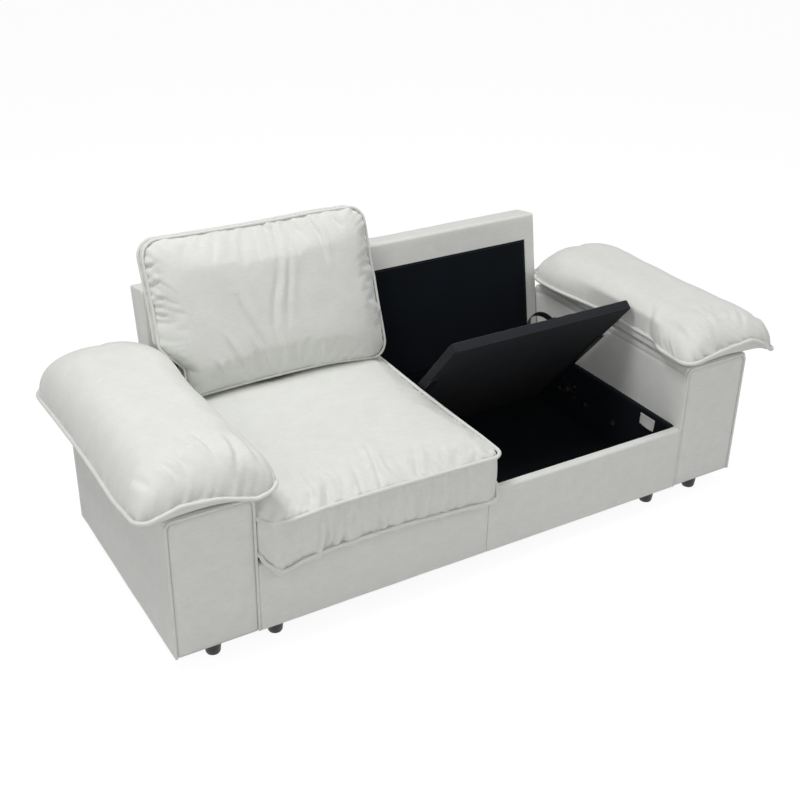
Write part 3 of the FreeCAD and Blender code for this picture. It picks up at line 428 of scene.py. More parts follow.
class Panel:
    """A grid of rings. It keeps for each point how far it lies from the seam and where
    along the seam, both in metres."""

    def __init__(self, across, along, half, shape, crown, height):
        """shape(inset, across, along) gives a ring; crown(share) gives its height."""
        self.across, self.along = across, along
        rings = min(across, along) // 2
        share = np.linspace(0, 1, 240)
        rise = np.array([crown(s) for s in share]) * height
        reach = min(half)
        run = np.concatenate(([0], np.cumsum(np.hypot(np.diff(share * reach), np.diff(rise)))))
        self.points = np.zeros((across + 1, along + 1, 3))
        self.inward = np.zeros((across + 1, along + 1))
        self.beside = np.zeros((across + 1, along + 1))
        for k in range(rings + 1):
            travelled = run[-1] * k / rings
            at = np.interp(travelled, run, share)
            a, b = across - 2 * k, along - 2 * k
            if a > 0 and b > 0:
                flat = shape(at * reach, a, b)
                places = ring_places(k, across, along)
            else:
                long = half[0] - reach, half[1] - reach
                line = np.linspace(-1, 1, max(a, b) + 1)[:, None]
                flat = line * np.array(long)
                places = [(k + n if a else k, k + n if b else k) for n in range(max(a, b) + 1)]
            if k == 0:
                self.length = float(np.linalg.norm(np.roll(flat, -1, 0) - flat, axis=1).sum())
            for n, (i, j) in enumerate(places):
                self.points[i, j] = (*flat[n], crown(at) * height)
                self.inward[i, j] = travelled
                self.beside[i, j] = self.length * n / len(places)
        self.seam = ring_places(0, across, along)

    def rim(self):
        """The points along its seam."""
        return np.array([self.points[place] for place in self.seam])


# How fast a cushion's corners grow rounder inwards, and their share of the room there
CORNER_GROWTH = 0.45
CORNER_LIMIT = 0.9


def rounding_in(half, radii, pull, bay=None):
    """A cushion's rings, whose corners grow rounder inwards. bay(inset) gives the side
    of a ring that stands back."""
    reach = min(half)

    def shape(inset, across, along):
        limit = (reach - inset) * CORNER_LIMIT
        corners = [min(radius + inset * CORNER_GROWTH, limit) for radius in radii]
        return ring(half[0] - inset, half[1] - inset, corners, pull, across, along,
                    bay and bay(inset))
    return shape


def cushion_panel(half, shape, rise, height, level=0.0):
    """A panel whose crown rises to a height from its seam's level."""
    across, along = (2 * round(side / sizes().grid) for side in half)
    reach = min(half)
    panel = Panel(across, along, half, shape, lambda share: rise(share * reach), height)
    panel.points[:, :, 2] += level
    return panel


def boxing(seam, reach, bulge, steps, height):
    """The loops of a cushion's side, which bulges out between its two seams."""
    return [at_level(seam[:, :2] * (1 + bulge * math.sin(math.pi * t) / reach), height(t))
            for t in np.linspace(0, 1, steps + 2)[1:-1]]


def outline_of(node, inset=0.0, axes=(0, 1)):
    """The middle of a node's box in a plane, and half its sizes less an inset."""
    low, high = resting_box(node)
    middle = np.array([(low[k] + high[k]) / 2 for k in axes])
    return middle, tuple((high[k] - low[k]) / 2 - inset for k in axes)


def quads(grid, flip=False):
    """Faces between neighbouring indices of a grid."""
    a, b, c, d = grid[:-1, :-1], grid[1:, :-1], grid[1:, 1:], grid[:-1, 1:]
    order = (a, d, c, b) if flip else (a, b, c, d)
    return np.stack([q.ravel() for q in order], 1).tolist()


def sewn(name, top, bottom, bands=()):
    """A closed cover of two panels, and of the loops between their seams. Gives the
    object, its loops, and the points of its lower panel."""
    points = [top.points.reshape(-1, 3)]
    shape = top.points.shape[:2]
    top_index = np.arange(shape[0] * shape[1]).reshape(shape)
    count = top_index.size
    faces = quads(top_index)
    loops = [np.array([top_index[p] for p in top.seam])]
    for band in bands:
        points.append(band)
        loops.append(np.arange(count, count + len(band)))
        count += len(band)
    bottom_index = np.arange(count, count + bottom.points.shape[0] * bottom.points.shape[1])
    bottom_index = bottom_index.reshape(bottom.points.shape[:2])
    points.append(bottom.points.reshape(-1, 3))
    faces += quads(bottom_index, True)
    loops.append(np.array([bottom_index[p] for p in bottom.seam]))
    for upper, lower in zip(loops, loops[1:]):
        ahead, below = np.roll(upper, -1), np.roll(lower, -1)
        faces += np.stack((upper, ahead, below, lower), 1).tolist()
    thing = make(name, np.concatenate(points), faces, "upholstery")
    lie = np.zeros((count + bottom_index.size, 3))
    lie[:, 2] = 1.0
    for panel, index in ((top, top_index), (bottom, bottom_index)):
        turn = panel.beside.ravel() * 2 * np.pi / panel.length
        around = panel.length / (2 * np.pi)
        lie[index.ravel()] = np.stack((around * np.cos(turn), around * np.sin(turn),
                                       panel.inward.ravel()), 1)
    for loop in loops[1:-1]:
        lie[loop] = lie[loops[0]]
    for k, loop in enumerate(loops[1:-1], start=1):
        lie[loop, 2] = 0.02 + 0.01 * min(k, len(loops) - 1 - k)
    kept = thing.data.attributes.new("lie", "FLOAT_VECTOR", "POINT")
    kept.data.foreach_set("vector", lie.ravel())
    return thing, loops, bottom_index


# How a cushion's cloth settles over its filling
COVER = {"quality": 5, "mass": 0.25, "tension_stiffness": 18, "compression_stiffness": 18,
         "shear_stiffness": 6, "bending_stiffness": 0.8, "air_damping": 1.5,
         "use_pressure": True, "pin_stiffness": 1.0, "shrink_min": -0.02}


def swollen(thing, held, cap):
    """Lets the filling push the cover out, with the held points kept, and no point
    moved further than the cap."""
    scene = bpy.context.scene
    start = points_of(thing)
    group = thing.vertex_groups.new(name="held")
    group.add([int(i) for i in held], 1.0, "REPLACE")
    cloth = thing.modifiers.new("cover", "CLOTH")
    for name, value in COVER.items():
        setattr(cloth.settings, name, value)
    cloth.settings.uniform_pressure_force = sizes().pressure
    cloth.settings.vertex_group_mass = "held"
    cloth.settings.effector_weights.gravity = 0
    cloth.collision_settings.use_collision = False
    cloth.point_cache.frame_start, cloth.point_cache.frame_end = 1, sizes().sim_frames
    for step in range(1, sizes().sim_frames + 1):
        scene.frame_set(step)
    baked(thing)
    scene.frame_set(1)
    moved = points_of(thing) - start
    far = np.linalg.norm(moved, axis=1, keepdims=True)
    put_points(thing, start + moved * np.minimum(1, cap / np.maximum(far, 1e-9)))
    thing.vertex_groups.clear()
    return thing


def smoothed(thing):
    """One level of subdivision, applied."""
    thing.modifiers.new("smooth", "SUBSURF").levels = 1
    thing.modifiers["smooth"].render_levels = 1
    return baked(thing)


def lie_of(thing):
    """For each point: where along its seam it lies, as a place on a circle as long as
    the seam, and how far in from it."""
    return triples(thing.data.attributes["lie"].data, "vector")


# A gather's ridge: how narrow it is, how low the cloth between ridges lies, and the
# level that neither raises nor sinks the cloth
RIDGE_NARROWNESS, RIDGE_FLOOR, RIDGE_LEVEL = 2.4, -0.6, 0.35
# Gathers grow longer and shorter over this many spacings, and fall off by this power
GATHER_SWELL, GATHER_FALL = 2.2, 1.3


def gathers(lie, seed, spacing, depth, reach):
    """Puckers that run in from a seam: deep at the seam, gone at their own reach.
    Depth and reach are numbers, or arrays with one for each point."""
    ridge = noise_at(at_level(lie[:, :2] / spacing, seed))
    long = noise_at(at_level(lie[:, :2] / (spacing * GATHER_SWELL), seed + 9.1))
    pleat = np.clip(1 - np.abs(ridge) * RIDGE_NARROWNESS, RIDGE_FLOOR, 1) - RIDGE_LEVEL
    stretch = np.maximum(reach * (0.75 + 0.9 * long), 0.004)
    return -depth * pleat * np.exp(-(lie[:, 2] / stretch) ** GATHER_FALL)


def creases(points, lines):
    """Folds along lines in a plane. A line is its points, its depth and its width; a
    valley with a low ridge beside it."""
    total = np.zeros(len(points))
    for line, depth, width in lines:
        line = np.array(line)
        best = np.full(len(points), 1e9)
        side = np.zeros(len(points))
        share = np.zeros(len(points))
        for n, (a, b) in enumerate(zip(line, line[1:])):
            ab = b - a
            t = np.clip(((points - a) @ ab) / (ab @ ab), 0, 1)
            off = points - (a + t[:, None] * ab)
            far = np.linalg.norm(off, axis=1)
            near = far < best
            best[near] = far[near]
            side[near] = np.sign(ab[0] * off[near, 1] - ab[1] * off[near, 0])
            share[near] = (n + t[near]) / (len(line) - 1)
        ends = np.clip(np.sin(np.pi * np.clip(share, 0.02, 0.98)), 0, 1) ** 0.6
        signed = best * side / width
        total += depth * ends * (-np.exp(-signed ** 2 * 2.2) + 0.75 * np.exp(-(signed - 1.15) ** 2))
    return total


# Geometry Nodes for what follows a path
def new_tree(name, inputs):
    tree = bpy.data.node_groups.new(name, "GeometryNodeTree")
    tree.interface.new_socket("Geometry", in_out="INPUT", socket_type="NodeSocketGeometry")
    for label, kind, value in inputs:
        socket = tree.interface.new_socket(label, in_out="INPUT", socket_type=kind)
        if value is not None:
            socket.default_value = value
    tree.interface.new_socket("Geometry", in_out="OUTPUT", socket_type="NodeSocketGeometry")
    return tree, tree.nodes.new("NodeGroupInput"), tree.nodes.new("NodeGroupOutput")


def finish_tree(tree, geometry, given, end):
    whole = add(tree, "GeometryNodeRealizeInstances", Geometry=geometry)
    painted = add(tree, "GeometryNodeSetMaterial", Geometry=whole.outputs[0],
                  Material=given.outputs["Material"])
    tree.links.new(painted.outputs[0], end.inputs[0])
    return tree


def piping_tree():
    """A covered cord along a line: a round tube whose cloth puckers a little."""
    tree, given, end = new_tree("Covered piping", (
        ("Radius", "NodeSocketFloat", 0.005), ("Pucker", "NodeSocketFloat", 0.0005),
        ("Pucker Length", "NodeSocketFloat", 0.012), ("Step", "NodeSocketFloat", 0.004),
        ("Material", "NodeSocketMaterial", None)))
    line = add(tree, "GeometryNodeMeshToCurve", Mesh=given.outputs["Geometry"])
    even = add(tree, "GeometryNodeResampleCurve", {"mode": "LENGTH"}, Curve=line.outputs[0],
               Length=given.outputs["Step"])
    section = add(tree, "GeometryNodeCurvePrimitiveCircle", Radius=given.outputs["Radius"])
    section.inputs["Resolution"].default_value = 12
    tube = add(tree, "GeometryNodeCurveToMesh", {}, Curve=even.outputs[0],
               Profile_Curve=section.outputs[0])
    tube.inputs["Fill Caps"].default_value = True
    scale = add(tree, "ShaderNodeMath", {"operation": "DIVIDE"}, i0=1.0,
                i1=given.outputs["Pucker Length"])
    fold = add(tree, "ShaderNodeTexNoise", Scale=scale.outputs[0], Detail=1.0)
    centred = add(tree, "ShaderNodeMath", {"operation": "SUBTRACT"}, i0=fold.outputs[0], i1=0.5)
    deep = add(tree, "ShaderNodeMath", {"operation": "MULTIPLY"}, i0=centred.outputs[0],
               i1=given.outputs["Pucker"])
    normal = add(tree, "GeometryNodeInputNormal")
    move = add(tree, "ShaderNodeVectorMath", {"operation": "SCALE"}, Vector=normal.outputs[0],
               Scale=deep.outputs[0])
    moved = add(tree, "GeometryNodeSetPosition", Geometry=tube.outputs[0], Offset=move.outputs[0])
    return finish_tree(tree, moved.outputs[0], given, end)


def stitch_tree():
    """Stitches along a line: short rounded beads of thread, laid end to end."""
    tree, given, end = new_tree("Seam stitches", (
        ("Stitch", "NodeSocketFloat", 0.006), ("Thread", "NodeSocketFloat", 0.0007),
        ("Material", "NodeSocketMaterial", None)))
    line = add(tree, "GeometryNodeMeshToCurve", Mesh=given.outputs["Geometry"])
    even = add(tree, "GeometryNodeResampleCurve", {"mode": "LENGTH"}, Curve=line.outputs[0],
               Length=given.outputs["Stitch"])
    bead = add(tree, "GeometryNodeMeshUVSphere", Radius=1.0)
    bead.inputs["Segments"].default_value = 6
    bead.inputs["Rings"].default_value = 4
    tangent = add(tree, "GeometryNodeInputTangent")
    turn = add(tree, "FunctionNodeAlignEulerToVector", {"axis": "Z"}, Vector=tangent.outputs[0])
    half = add(tree, "ShaderNodeMath", {"operation": "MULTIPLY"}, i0=given.outputs["Stitch"],
               i1=0.42)
    grow = add(tree, "ShaderNodeCombineXYZ", X=given.outputs["Thread"], Y=given.outputs["Thread"],
               Z=half.outputs[0])
    laid = add(tree, "GeometryNodeInstanceOnPoints", Points=even.outputs[0],
               Instance=bead.outputs[0], Rotation=turn.outputs[0], Scale=grow.outputs[0])
    return finish_tree(tree, laid.outputs[0], given, end)


TREES = {}


def along_path(name, tree_name, lines, finish_name, **values):
    """A piece that a node tree makes along lines of points, as a plain mesh. A line is
    its points and whether it closes."""
    if tree_name not in TREES:
        TREES[tree_name] = {"piping": piping_tree, "stitches": stitch_tree}[tree_name]()
    tree = TREES[tree_name]
    vertices, edges = [], []
    for points, closed in lines:
        first = len(vertices)
        vertices += [tuple(p) for p in points]
        edges += [(first + n, first + n + 1) for n in range(len(points) - 1)]
        if closed:
            edges.append((len(vertices) - 1, first))
    mesh = bpy.data.meshes.new(name)
    mesh.from_pydata(vertices, edges, [])
    made = bpy.data.objects.new(name, mesh)
    bpy.context.scene.collection.objects.link(made)
    modifier = made.modifiers.new("path", "NODES")
    modifier.node_group = tree
    values["Material"] = finish(finish_name)
    for item in tree.interface.items_tree:
        if item.in_out == "INPUT" and item.name in values:
            modifier[item.identifier] = values[item.name]
    return baked(made)


def piping(name, lines, body, node, radius, pucker):
    """Covered piping along lines, in place of a node."""
    made = along_path(name, "piping", lines, "upholstery", Radius=radius, Pucker=pucker)
    return ride_on(made, body, "upholstery", node)


def stitching(name, lines, body, slot="black_cloth", colour="black_thread", stitch=None,
              thick=0.0006):
    """A seam's stitches along lines."""
    made = along_path(name, "stitches", lines, colour, Stitch=stitch or sizes().stitch,
                      Thread=thick)
    return ride_on(made, body, slot)


# Boards, covers and pads
def resting_box(node):
    """A node's lowest and highest corner as plain triples."""
    low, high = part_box(node)
    return tuple(low), tuple(high)


def rounded(corners, radii, cell):
    """A closed line round a polygon, its corners rounded, with a point each cell."""
    corners = [np.array(corner, float) for corner in corners]
    found = []
    for n, (corner, radius) in enumerate(zip(corners, radii)):
        if radius == 0:
            found.append(corner)
            continue
        before = corners[n - 1] - corner
        after = corners[(n + 1) % len(corners)] - corner
        before /= np.linalg.norm(before)
        after /= np.linalg.norm(after)
        half = math.acos(np.clip(before @ after, -1, 1)) / 2
        middle = (before + after) / np.linalg.norm(before + after)
        centre = corner + middle * radius / math.sin(half)
        start = corner + before * radius / math.tan(half) - centre
        stop = corner + after * radius / math.tan(half) - centre
        total = math.pi - 2 * half
        for t in np.linspace(0, 1, 7):
            found.append(centre + (math.sin((1 - t) * total) * start
                                   + math.sin(t * total) * stop) / math.sin(total))
    line = []
    for a, b in zip(found, found[1:] + found[:1]):
        count = max(1, round(float(np.linalg.norm(b - a)) / cell))
        line += [a + (b - a) * k / count for k in range(count)]
    return np.array(line)


def extruded(name, profile, axis, start, end, edge, cell, finish_name):
    """A closed profile drawn along X or Y, with its two ends rounded over."""
    tangent = np.roll(profile, -1, 0) - np.roll(profile, 1, 0)
    tangent /= np.linalg.norm(tangent, axis=1, keepdims=True)
    area = np.sum(profile[:, 0] * np.roll(profile[:, 1], -1)
                  - np.roll(profile[:, 0], -1) * profile[:, 1])
    inward = np.stack((-tangent[:, 1], tangent[:, 0]), 1) * math.copysign(1, area)
    turns = np.radians(np.linspace(0, 90, 5))
    count = max(2, round((end - start - 2 * edge) / cell))
    rim = [(start + edge * (1 - math.cos(t)), edge * (1 - math.sin(t))) for t in turns]
    middle = [(s, 0.0) for s in np.linspace(start + edge, end - edge, count + 1)[1:-1]]
    stations = rim + middle + [(start + end - s, drawn) for s, drawn in rim[::-1]]
    vertices, faces = [], []
    size = len(profile)
    for s, drawn in stations:
        for a, b in profile + inward * drawn:
            vertices.append((s, a, b) if axis == "x" else (a, s, b))
    for k in range(len(stations) - 1):
        for n in range(size):
            a, b = k * size + n, k * size + (n + 1) % size
            faces.append((a, b, b + size, a + size))
    faces.append(tuple(range(size))[::-1])
    faces.append(tuple(range(len(vertices) - size, len(vertices))))
    return outward(make(name, vertices, faces, finish_name))


def stations_of(low, high, radius, cell):
    """Places along one edge of a box, closer over its rounding."""
    ends = radius * np.tan(np.radians(np.linspace(45, 0, 5)))
    count = max(2, round((high - low - 2 * radius) / cell))
    middle = np.linspace(low + radius, high - radius, count + 1)
    return np.concatenate((low + radius - ends[:-1], middle, high - radius + ends[::-1][1:]))


def soft_box(name, low, high, radius, cell, finish_name):
    """A padded board: a box with every edge rounded, and points enough to be shaped."""
    low, high = np.array(low), np.array(high)
    lines = [stations_of(low[k], high[k], radius, cell) for k in range(3)]
    vertices, faces = [], []
    for k in range(3):
        a, b = (k + 1) % 3, (k + 2) % 3
        for level in (low[k], high[k]):
            grid = np.zeros((len(lines[a]), len(lines[b]), 3))
            grid[:, :, a] = lines[a][:, None]
            grid[:, :, b] = lines[b][None, :]
            grid[:, :, k] = level
            index = np.arange(grid.shape[0] * grid.shape[1]).reshape(grid.shape[:2])
            faces += quads(index + sum(len(v) for v in vertices), level == low[k])
            vertices.append(grid.reshape(-1, 3))
    points = np.concatenate(vertices)
    inner = np.clip(points, low + radius, high - radius)
    off = points - inner
    points = inner + off / np.linalg.norm(off, axis=1, keepdims=True) * radius
    return outward(make(name, points, faces, finish_name))


def uneven(thing, depth, wavelength, seed):
    """The slight swell and sag of cloth over its padding."""
    points = points_of(thing)
    push = noise_at(points / wavelength + seed) * depth
    put_points(thing, points + normals_of(thing) * push[:, None])
    return thing


def lathed(name, profile, centres, finish_name, around=40):
    """Turned pieces: a profile of radius and height, stood at each centre."""
    vertices, faces = [], []
    turn = np.linspace(0, 2 * np.pi, around, endpoint=False)
    for x, y in centres:
        first = len(vertices)
        for radius, z in profile:
            vertices += [(x + radius * math.cos(t), y + radius * math.sin(t), z) for t in turn]
        for k in range(len(profile) - 1):
            for n in range(around):
                a = first + k * around + n
                b = first + k * around + (n + 1) % around
                faces.append((a, b, b + around, a + around))
        faces.append(tuple(range(first, first + around))[::-1])
        faces.append(tuple(range(len(vertices) - around, len(vertices))))
    return make(name, vertices, faces, finish_name)


# Seat cushion
def crowned(rounding, turn=84.0):
    """The rise of a crown at a share of its reach, which rounds in over a width."""
    full = math.radians(turn)

    def rise(inset):
        part = min(1.0, inset / rounding) * (1 - math.cos(full))
        return math.sin(math.acos(1 - part)) / math.sin(full)
    return rise


# The seat cushion's two seams above the boxes' rim, its corners, and its front's fullness
SEAT_SEAMS = (0.025, 0.141)
SEAT_CORNER, SEAT_PULL = 0.040, 0.005
SEAT_CROWN, SEAT_FOOT = 0.190, 0.016
SEAT_BULGE, SEAT_PIPING_OUT = 0.003, 0.0060


def seat_cushion():
    foot, crown = (end[2] for end in resting_box("seat_cushion"))
    centre, half = outline_of("seat_cushion_piping", 0.0075)
    lower, upper = (RIM + seam for seam in SEAT_SEAMS)
    reach = min(half)
    shape = rounding_in(half, (SEAT_CORNER,) * 4, SEAT_PULL)
    top = cushion_panel(half, shape, crowned(SEAT_CROWN), crown - upper, upper)
    bottom = cushion_panel(half, shape, crowned(SEAT_FOOT), foot - lower, lower)
    seam = top.rim()
    bands = boxing(seam, reach, SEAT_BULGE, 12, lambda t: upper + (lower - upper) * t)
    for band in bands:
        band[:, 1] = np.minimum(band[:, 1], seam[:, 1].max())
    thing, loops, beneath = sewn("seat_cushion_cover", top, bottom, bands)
    points = points_of(thing)
    points[:, :2] += centre
    put_points(thing, points)
    swollen(thing, np.concatenate((loops[0], loops[-1], beneath.ravel())), 0.010)
    smoothed(thing)

    points, lie, normals = points_of(thing), lie_of(thing), normals_of(thing)
    front = fade(-points[:, 1], 0.30, 0.46)
    on_top = fade(points[:, 2], upper - 0.002, upper + 0.006)
    on_face = fade(-normals[:, 1], 0.5, 0.8)
    local = points[:, :2] - centre
    face = np.column_stack((local[:, 0], points[:, 2]))
    push = gathers(lie, 3.1, 0.032, 0.0030, 0.026)
    push += gathers(lie, 8.4, 0.036, 0.0062, 0.085) * front
    push += creases(local, SEAT_TOP_FOLDS) * on_top * FOLD_DEPTH
    push += creases(face, SEAT_FACE_FOLDS) * on_face * FOLD_DEPTH
    push += noise_at(points / 0.13) * 0.0035 * on_top
    points += normals * push[:, None]
    put_points(thing, droop(points, lower, upper))
    ride_on(thing, "seat_cushion", "upholstery", "seat_cushion", "seat_cushion_core")

    out = seam[:, :2] * (1 + SEAT_PIPING_OUT / reach) + centre
    lines = [(droop(at_level(out, z), lower, upper), True) for z in (upper, lower)]
    piping("seat_cushion_welts", lines, "seat_cushion", "seat_cushion_piping",
           sizes().seat_welt / 2, 0.0009)


def droop(points, lower, upper):
    """The front of the seat cushion hangs down over the seat box's front."""
    points = points.copy()
    ahead = fade(-points[:, 1], -FRONT + 0.001, -FRONT + 0.016)
    share = fade(upper - points[:, 2], 0.0, upper - lower)
    x = points[:, 0]
    hang = np.interp(x, (-0.775, -0.719, -0.657, -0.527, -0.325, -0.111, 0.021),
                     (0.006, 0.047, 0.034, 0.027, 0.027, 0.036, 0.042))
    sag = np.interp(x, (-0.790, -0.755, -0.693, -0.588, -0.416, -0.263, -0.115, 0.033),
                    (-0.030, -0.007, 0.004, -0.007, -0.005, -0.002, 0.001, 0.005))
    points[:, 2] -= hang * share * ahead + sag * fade(-points[:, 1], 0.36, 0.47) * 0.6
    points[:, 0] = np.maximum(points[:, 0], -ARM_INNER + 0.0008)
    over = (points[:, 1] > FRONT - 0.0015) & (points[:, 2] < RIM + 0.0004)
    points[over, 2] = RIM + 0.0004
    return points


# The drawn folds' depths are all multiplied by this
FOLD_DEPTH = 1.7
# Folds on the seat cushion's top: places from its middle, depth and width
SEAT_TOP_FOLDS = [
    ([(-0.18, -0.34), (-0.176, -0.43)], 0.0035, 0.012),
    ([(-0.164, -0.278), (-0.164, -0.369)], 0.0030, 0.012),
    ([(0.029, -0.216), (-0.002, -0.338), (-0.026, -0.417)], 0.0040, 0.014),
    ([(0.159, -0.267), (0.093, -0.413)], 0.0035, 0.014),
    ([(-0.095, -0.358), (-0.12, -0.423)], 0.0030, 0.010),
    ([(-0.218, -0.238), (-0.224, -0.393)], 0.0035, 0.014),
    ([(-0.155, -0.21), (-0.139, -0.323)], 0.0025, 0.012),
    ([(-0.002, -0.21), (-0.022, -0.306)], 0.0025, 0.012),
    ([(0.228, -0.306), (0.2, -0.378)], 0.0025, 0.012),
    ([(0.326, -0.338), (0.299, -0.412)], 0.0025, 0.012),
]
# Folds on its front face: places from its middle and heights
SEAT_FACE_FOLDS = [
    ([(-0.218, 0.407), (-0.229, 0.35), (-0.246, 0.293)], 0.0045, 0.011),
    ([(-0.189, 0.392), (-0.201, 0.346), (-0.209, 0.315)], 0.0035, 0.010),
    ([(-0.166, 0.39), (-0.177, 0.338), (-0.193, 0.298)], 0.0045, 0.011),
    ([(-0.14, 0.359), (-0.151, 0.306)], 0.0030, 0.010),
    ([(-0.037, 0.37), (-0.026, 0.338), (-0.042, 0.309)], 0.0035, 0.010),
    ([(-0.02, 0.342), (-0.025, 0.303)], 0.0025, 0.009),
    ([(0.116, 0.407), (0.106, 0.352), (0.093, 0.304)], 0.0040, 0.011),
    ([(0.13, 0.408), (0.12, 0.359), (0.11, 0.316)], 0.0030, 0.009),
    ([(0.212, 0.365), (0.197, 0.306)], 0.0030, 0.011),
]


# Back cushion
# The back cushion's lean in degrees, its middle, half its width and height, half its
# thickness at the seams, and how far its front and rear stand out from them
BACK_LEAN = 14
BACK_CENTRE = np.array((-0.376, 0.2882, 0.7199))
BACK_HALF = (0.3885, 0.2505)
BACK_EDGE, BACK_FRONT, BACK_REAR = 0.022, 0.046, 0.074
BACK_CORNER, BACK_PULL, BACK_CROWN = 0.052, 0.006, 0.150
BACK_BULGE, BACK_PIPING_OUT = 0.002, 0.0025


def back_cushion():
    lean = math.radians(BACK_LEAN)
    right = np.array((1, 0, 0))
    up = np.array((0, math.sin(lean), math.cos(lean)))
    out = np.array((0, -math.cos(lean), math.sin(lean)))
    edge, reach = BACK_EDGE, min(BACK_HALF)
    shape = rounding_in(BACK_HALF, (BACK_CORNER,) * 4, BACK_PULL)
    rise = crowned(BACK_CROWN)
    top = cushion_panel(BACK_HALF, shape, rise, BACK_FRONT, edge)
    bottom = cushion_panel(BACK_HALF, shape, rise, -BACK_REAR, -edge)
    seam = top.rim()
    bands = boxing(seam, reach, BACK_BULGE, 5, lambda t: edge * (1 - 2 * t))
    thing, loops, behind = sewn("back_cushion_cover", top, bottom, bands)
    # The rear leans on the backrest, and is kept
    swollen(thing, np.concatenate((loops[0], loops[-1], behind.ravel())), 0.016)
    smoothed(thing)

    points, lie, normals = points_of(thing), lie_of(thing), normals_of(thing)
    on_face = fade(points[:, 2], 0.010, edge + 0.004)
    sides = fade(np.abs(points[:, 0]), 0.25, 0.38)
    push = gathers(lie, 5.7, 0.030, 0.0030, 0.030)
    push += gathers(lie, 1.9, 0.036, 0.0055, 0.070) * on_face * sides
    push += creases(points[:, :2], BACK_FOLDS) * on_face * FOLD_DEPTH
    push += noise_at(points / 0.11 + 4) * 0.004 * on_face
    points += normals * push[:, None]

    def placed(local):
        local = lopsided(local)
        world = BACK_CENTRE + local[:, :1] * right + local[:, 1:2] * up + local[:, 2:] * out
        return beside_pillow(world)

    put_points(thing, placed(points))
    ride_on(thing, "back_cushion", "upholstery", "back_cushion", "back_cushion_filling")
    around = seam[:, :2] * (1 + BACK_PIPING_OUT / reach)
    lines = [(placed(at_level(around, z)), True) for z in (edge, -edge)]
    piping("back_cushion_welts", lines, "back_cushion", "back_cushion_piping",
           sizes().back_welt / 2, 0.0008)


def lopsided(local):
    """The back cushion's right side leans in at its top and sags at its foot."""
    local = local.copy()
    x, y = local[:, 0].copy(), local[:, 1].copy()
    right = fade(x, 0.15, 0.39)
    local[:, 0] -= right * np.interp(y, (-0.26, 0.0, 0.26), (-0.002, 0.006, 0.030))
    local[:, 1] -= right * fade(-y, 0.12, 0.26) * 0.016
    local[:, 1] -= right * fade(y, 0.12, 0.26) * 0.008
    return local


def beside_pillow(world):
    """The back cushion's lower left side gives way to the arm pillow beside it."""
    world = world.copy()
    x, z = world[:, 0], world[:, 2]
    full, keep = 0.776, -0.600
    edge = np.interp(z, (0.0, 0.573, 0.596, 0.634, 0.652), (0.700, 0.700, 0.722, 0.762, full))
    share = (edge + keep) / (full + keep)
    world[:, 0] = np.where(x < keep, keep + (x - keep) * share, x)
    return world


# Folds on the back cushion's front: places from its middle, depth and width
BACK_FOLDS = [
    ([(.031, .235), (.026, .150), (.008, .070), (-.014, .0), (-.022, -.070), (-.014, -.140),
      (.008, -.218)], 0.0034, 0.017),
    ([(.062, .170), (.050, .090), (.036, .010), (.026, -.070)], 0.0024, 0.015),
    ([(-.137, .041), (-.108, -.038), (-.074, -.120), (-.040, -.225)], 0.0042, 0.015),
    ([(-.195, -.080), (-.164, -.150), (-.122, -.228)], 0.0042, 0.013),
    ([(-.110, -.100), (-.086, -.165), (-.062, -.232)], 0.0034, 0.012),
    ([(-.238, -.150), (-.205, -.207)], 0.0034, 0.012),
    ([(.149, .249), (.176, .191), (.188, .108)], 0.0040, 0.014),
    ([(.242, .234), (.273, .196)], 0.0030, 0.012),
    ([(.004, .252), (.016, .218)], 0.0035, 0.010),
    ([(.095, .242), (.117, .196)], 0.0035, 0.012),
    ([(-.391, .172), (-.365, .187)], 0.0040, 0.010),
    ([(-.385, .115), (-.355, .135)], 0.0040, 0.010),
    ([(-.385, .069), (-.354, .078)], 0.0035, 0.010),
    ([(-.384, .028), (-.354, .021)], 0.0035, 0.010),
    ([(.044, -.137), (.042, -.193), (.053, -.24)], 0.0035, 0.012),
    ([(.132, -.156), (.127, -.234)], 0.0030, 0.012),
]


# Arm pillows
def arm_pillows():
    for word, side in SIDES:
        arm_pillow(word, side)


# Height of a pillow's front seam at each distance from the sofa's middle
FRONT_SEAM = {
    "left": ((0.705, 0.72, 0.79, 0.895, 1.0, 1.085, 1.127, 1.14),
             (0.553, 0.556, 0.537, 0.566, 0.577, 0.560, 0.556, 0.553)),
    "right": ((0.705, 0.72, 0.85, 1.0, 1.05, 1.09, 1.127, 1.14),
              (0.560, 0.557, 0.572, 0.585, 0.562, 0.530, 0.522, 0.520)),
}
# How far the settled pillow stands above its filling's crown, and how far the side beside
# the seat stands back
PAD_LOFT = {"left": 0.046, "right": 0.026}
PAD_BAY = {"left": 0.0, "right": 0.033}
# Folds on a pillow's top: places from its middle, with X outwards
PAD_FOLDS = [
    ([(-.127, -.189), (-.179, -.238), (-.2, -.318), (-.212, -.427)], 0.0050, 0.015),
    ([(-.108, -.325), (-.105, -.39), (-.091, -.434)], 0.0050, 0.014),
    ([(-.027, -.285), (-.051, -.403)], 0.0045, 0.014),
    ([(.01, -.286), (-.009, -.333)], 0.0030, 0.012),
    ([(-.148, -.311), (-.162, -.421)], 0.0045, 0.014),
    ([(.066, -.347), (.032, -.404)], 0.0040, 0.013),
    ([(.1, -.367), (.069, -.416)], 0.0040, 0.012),
    ([(.168, -.356), (.144, -.42)], 0.0040, 0.013),
]


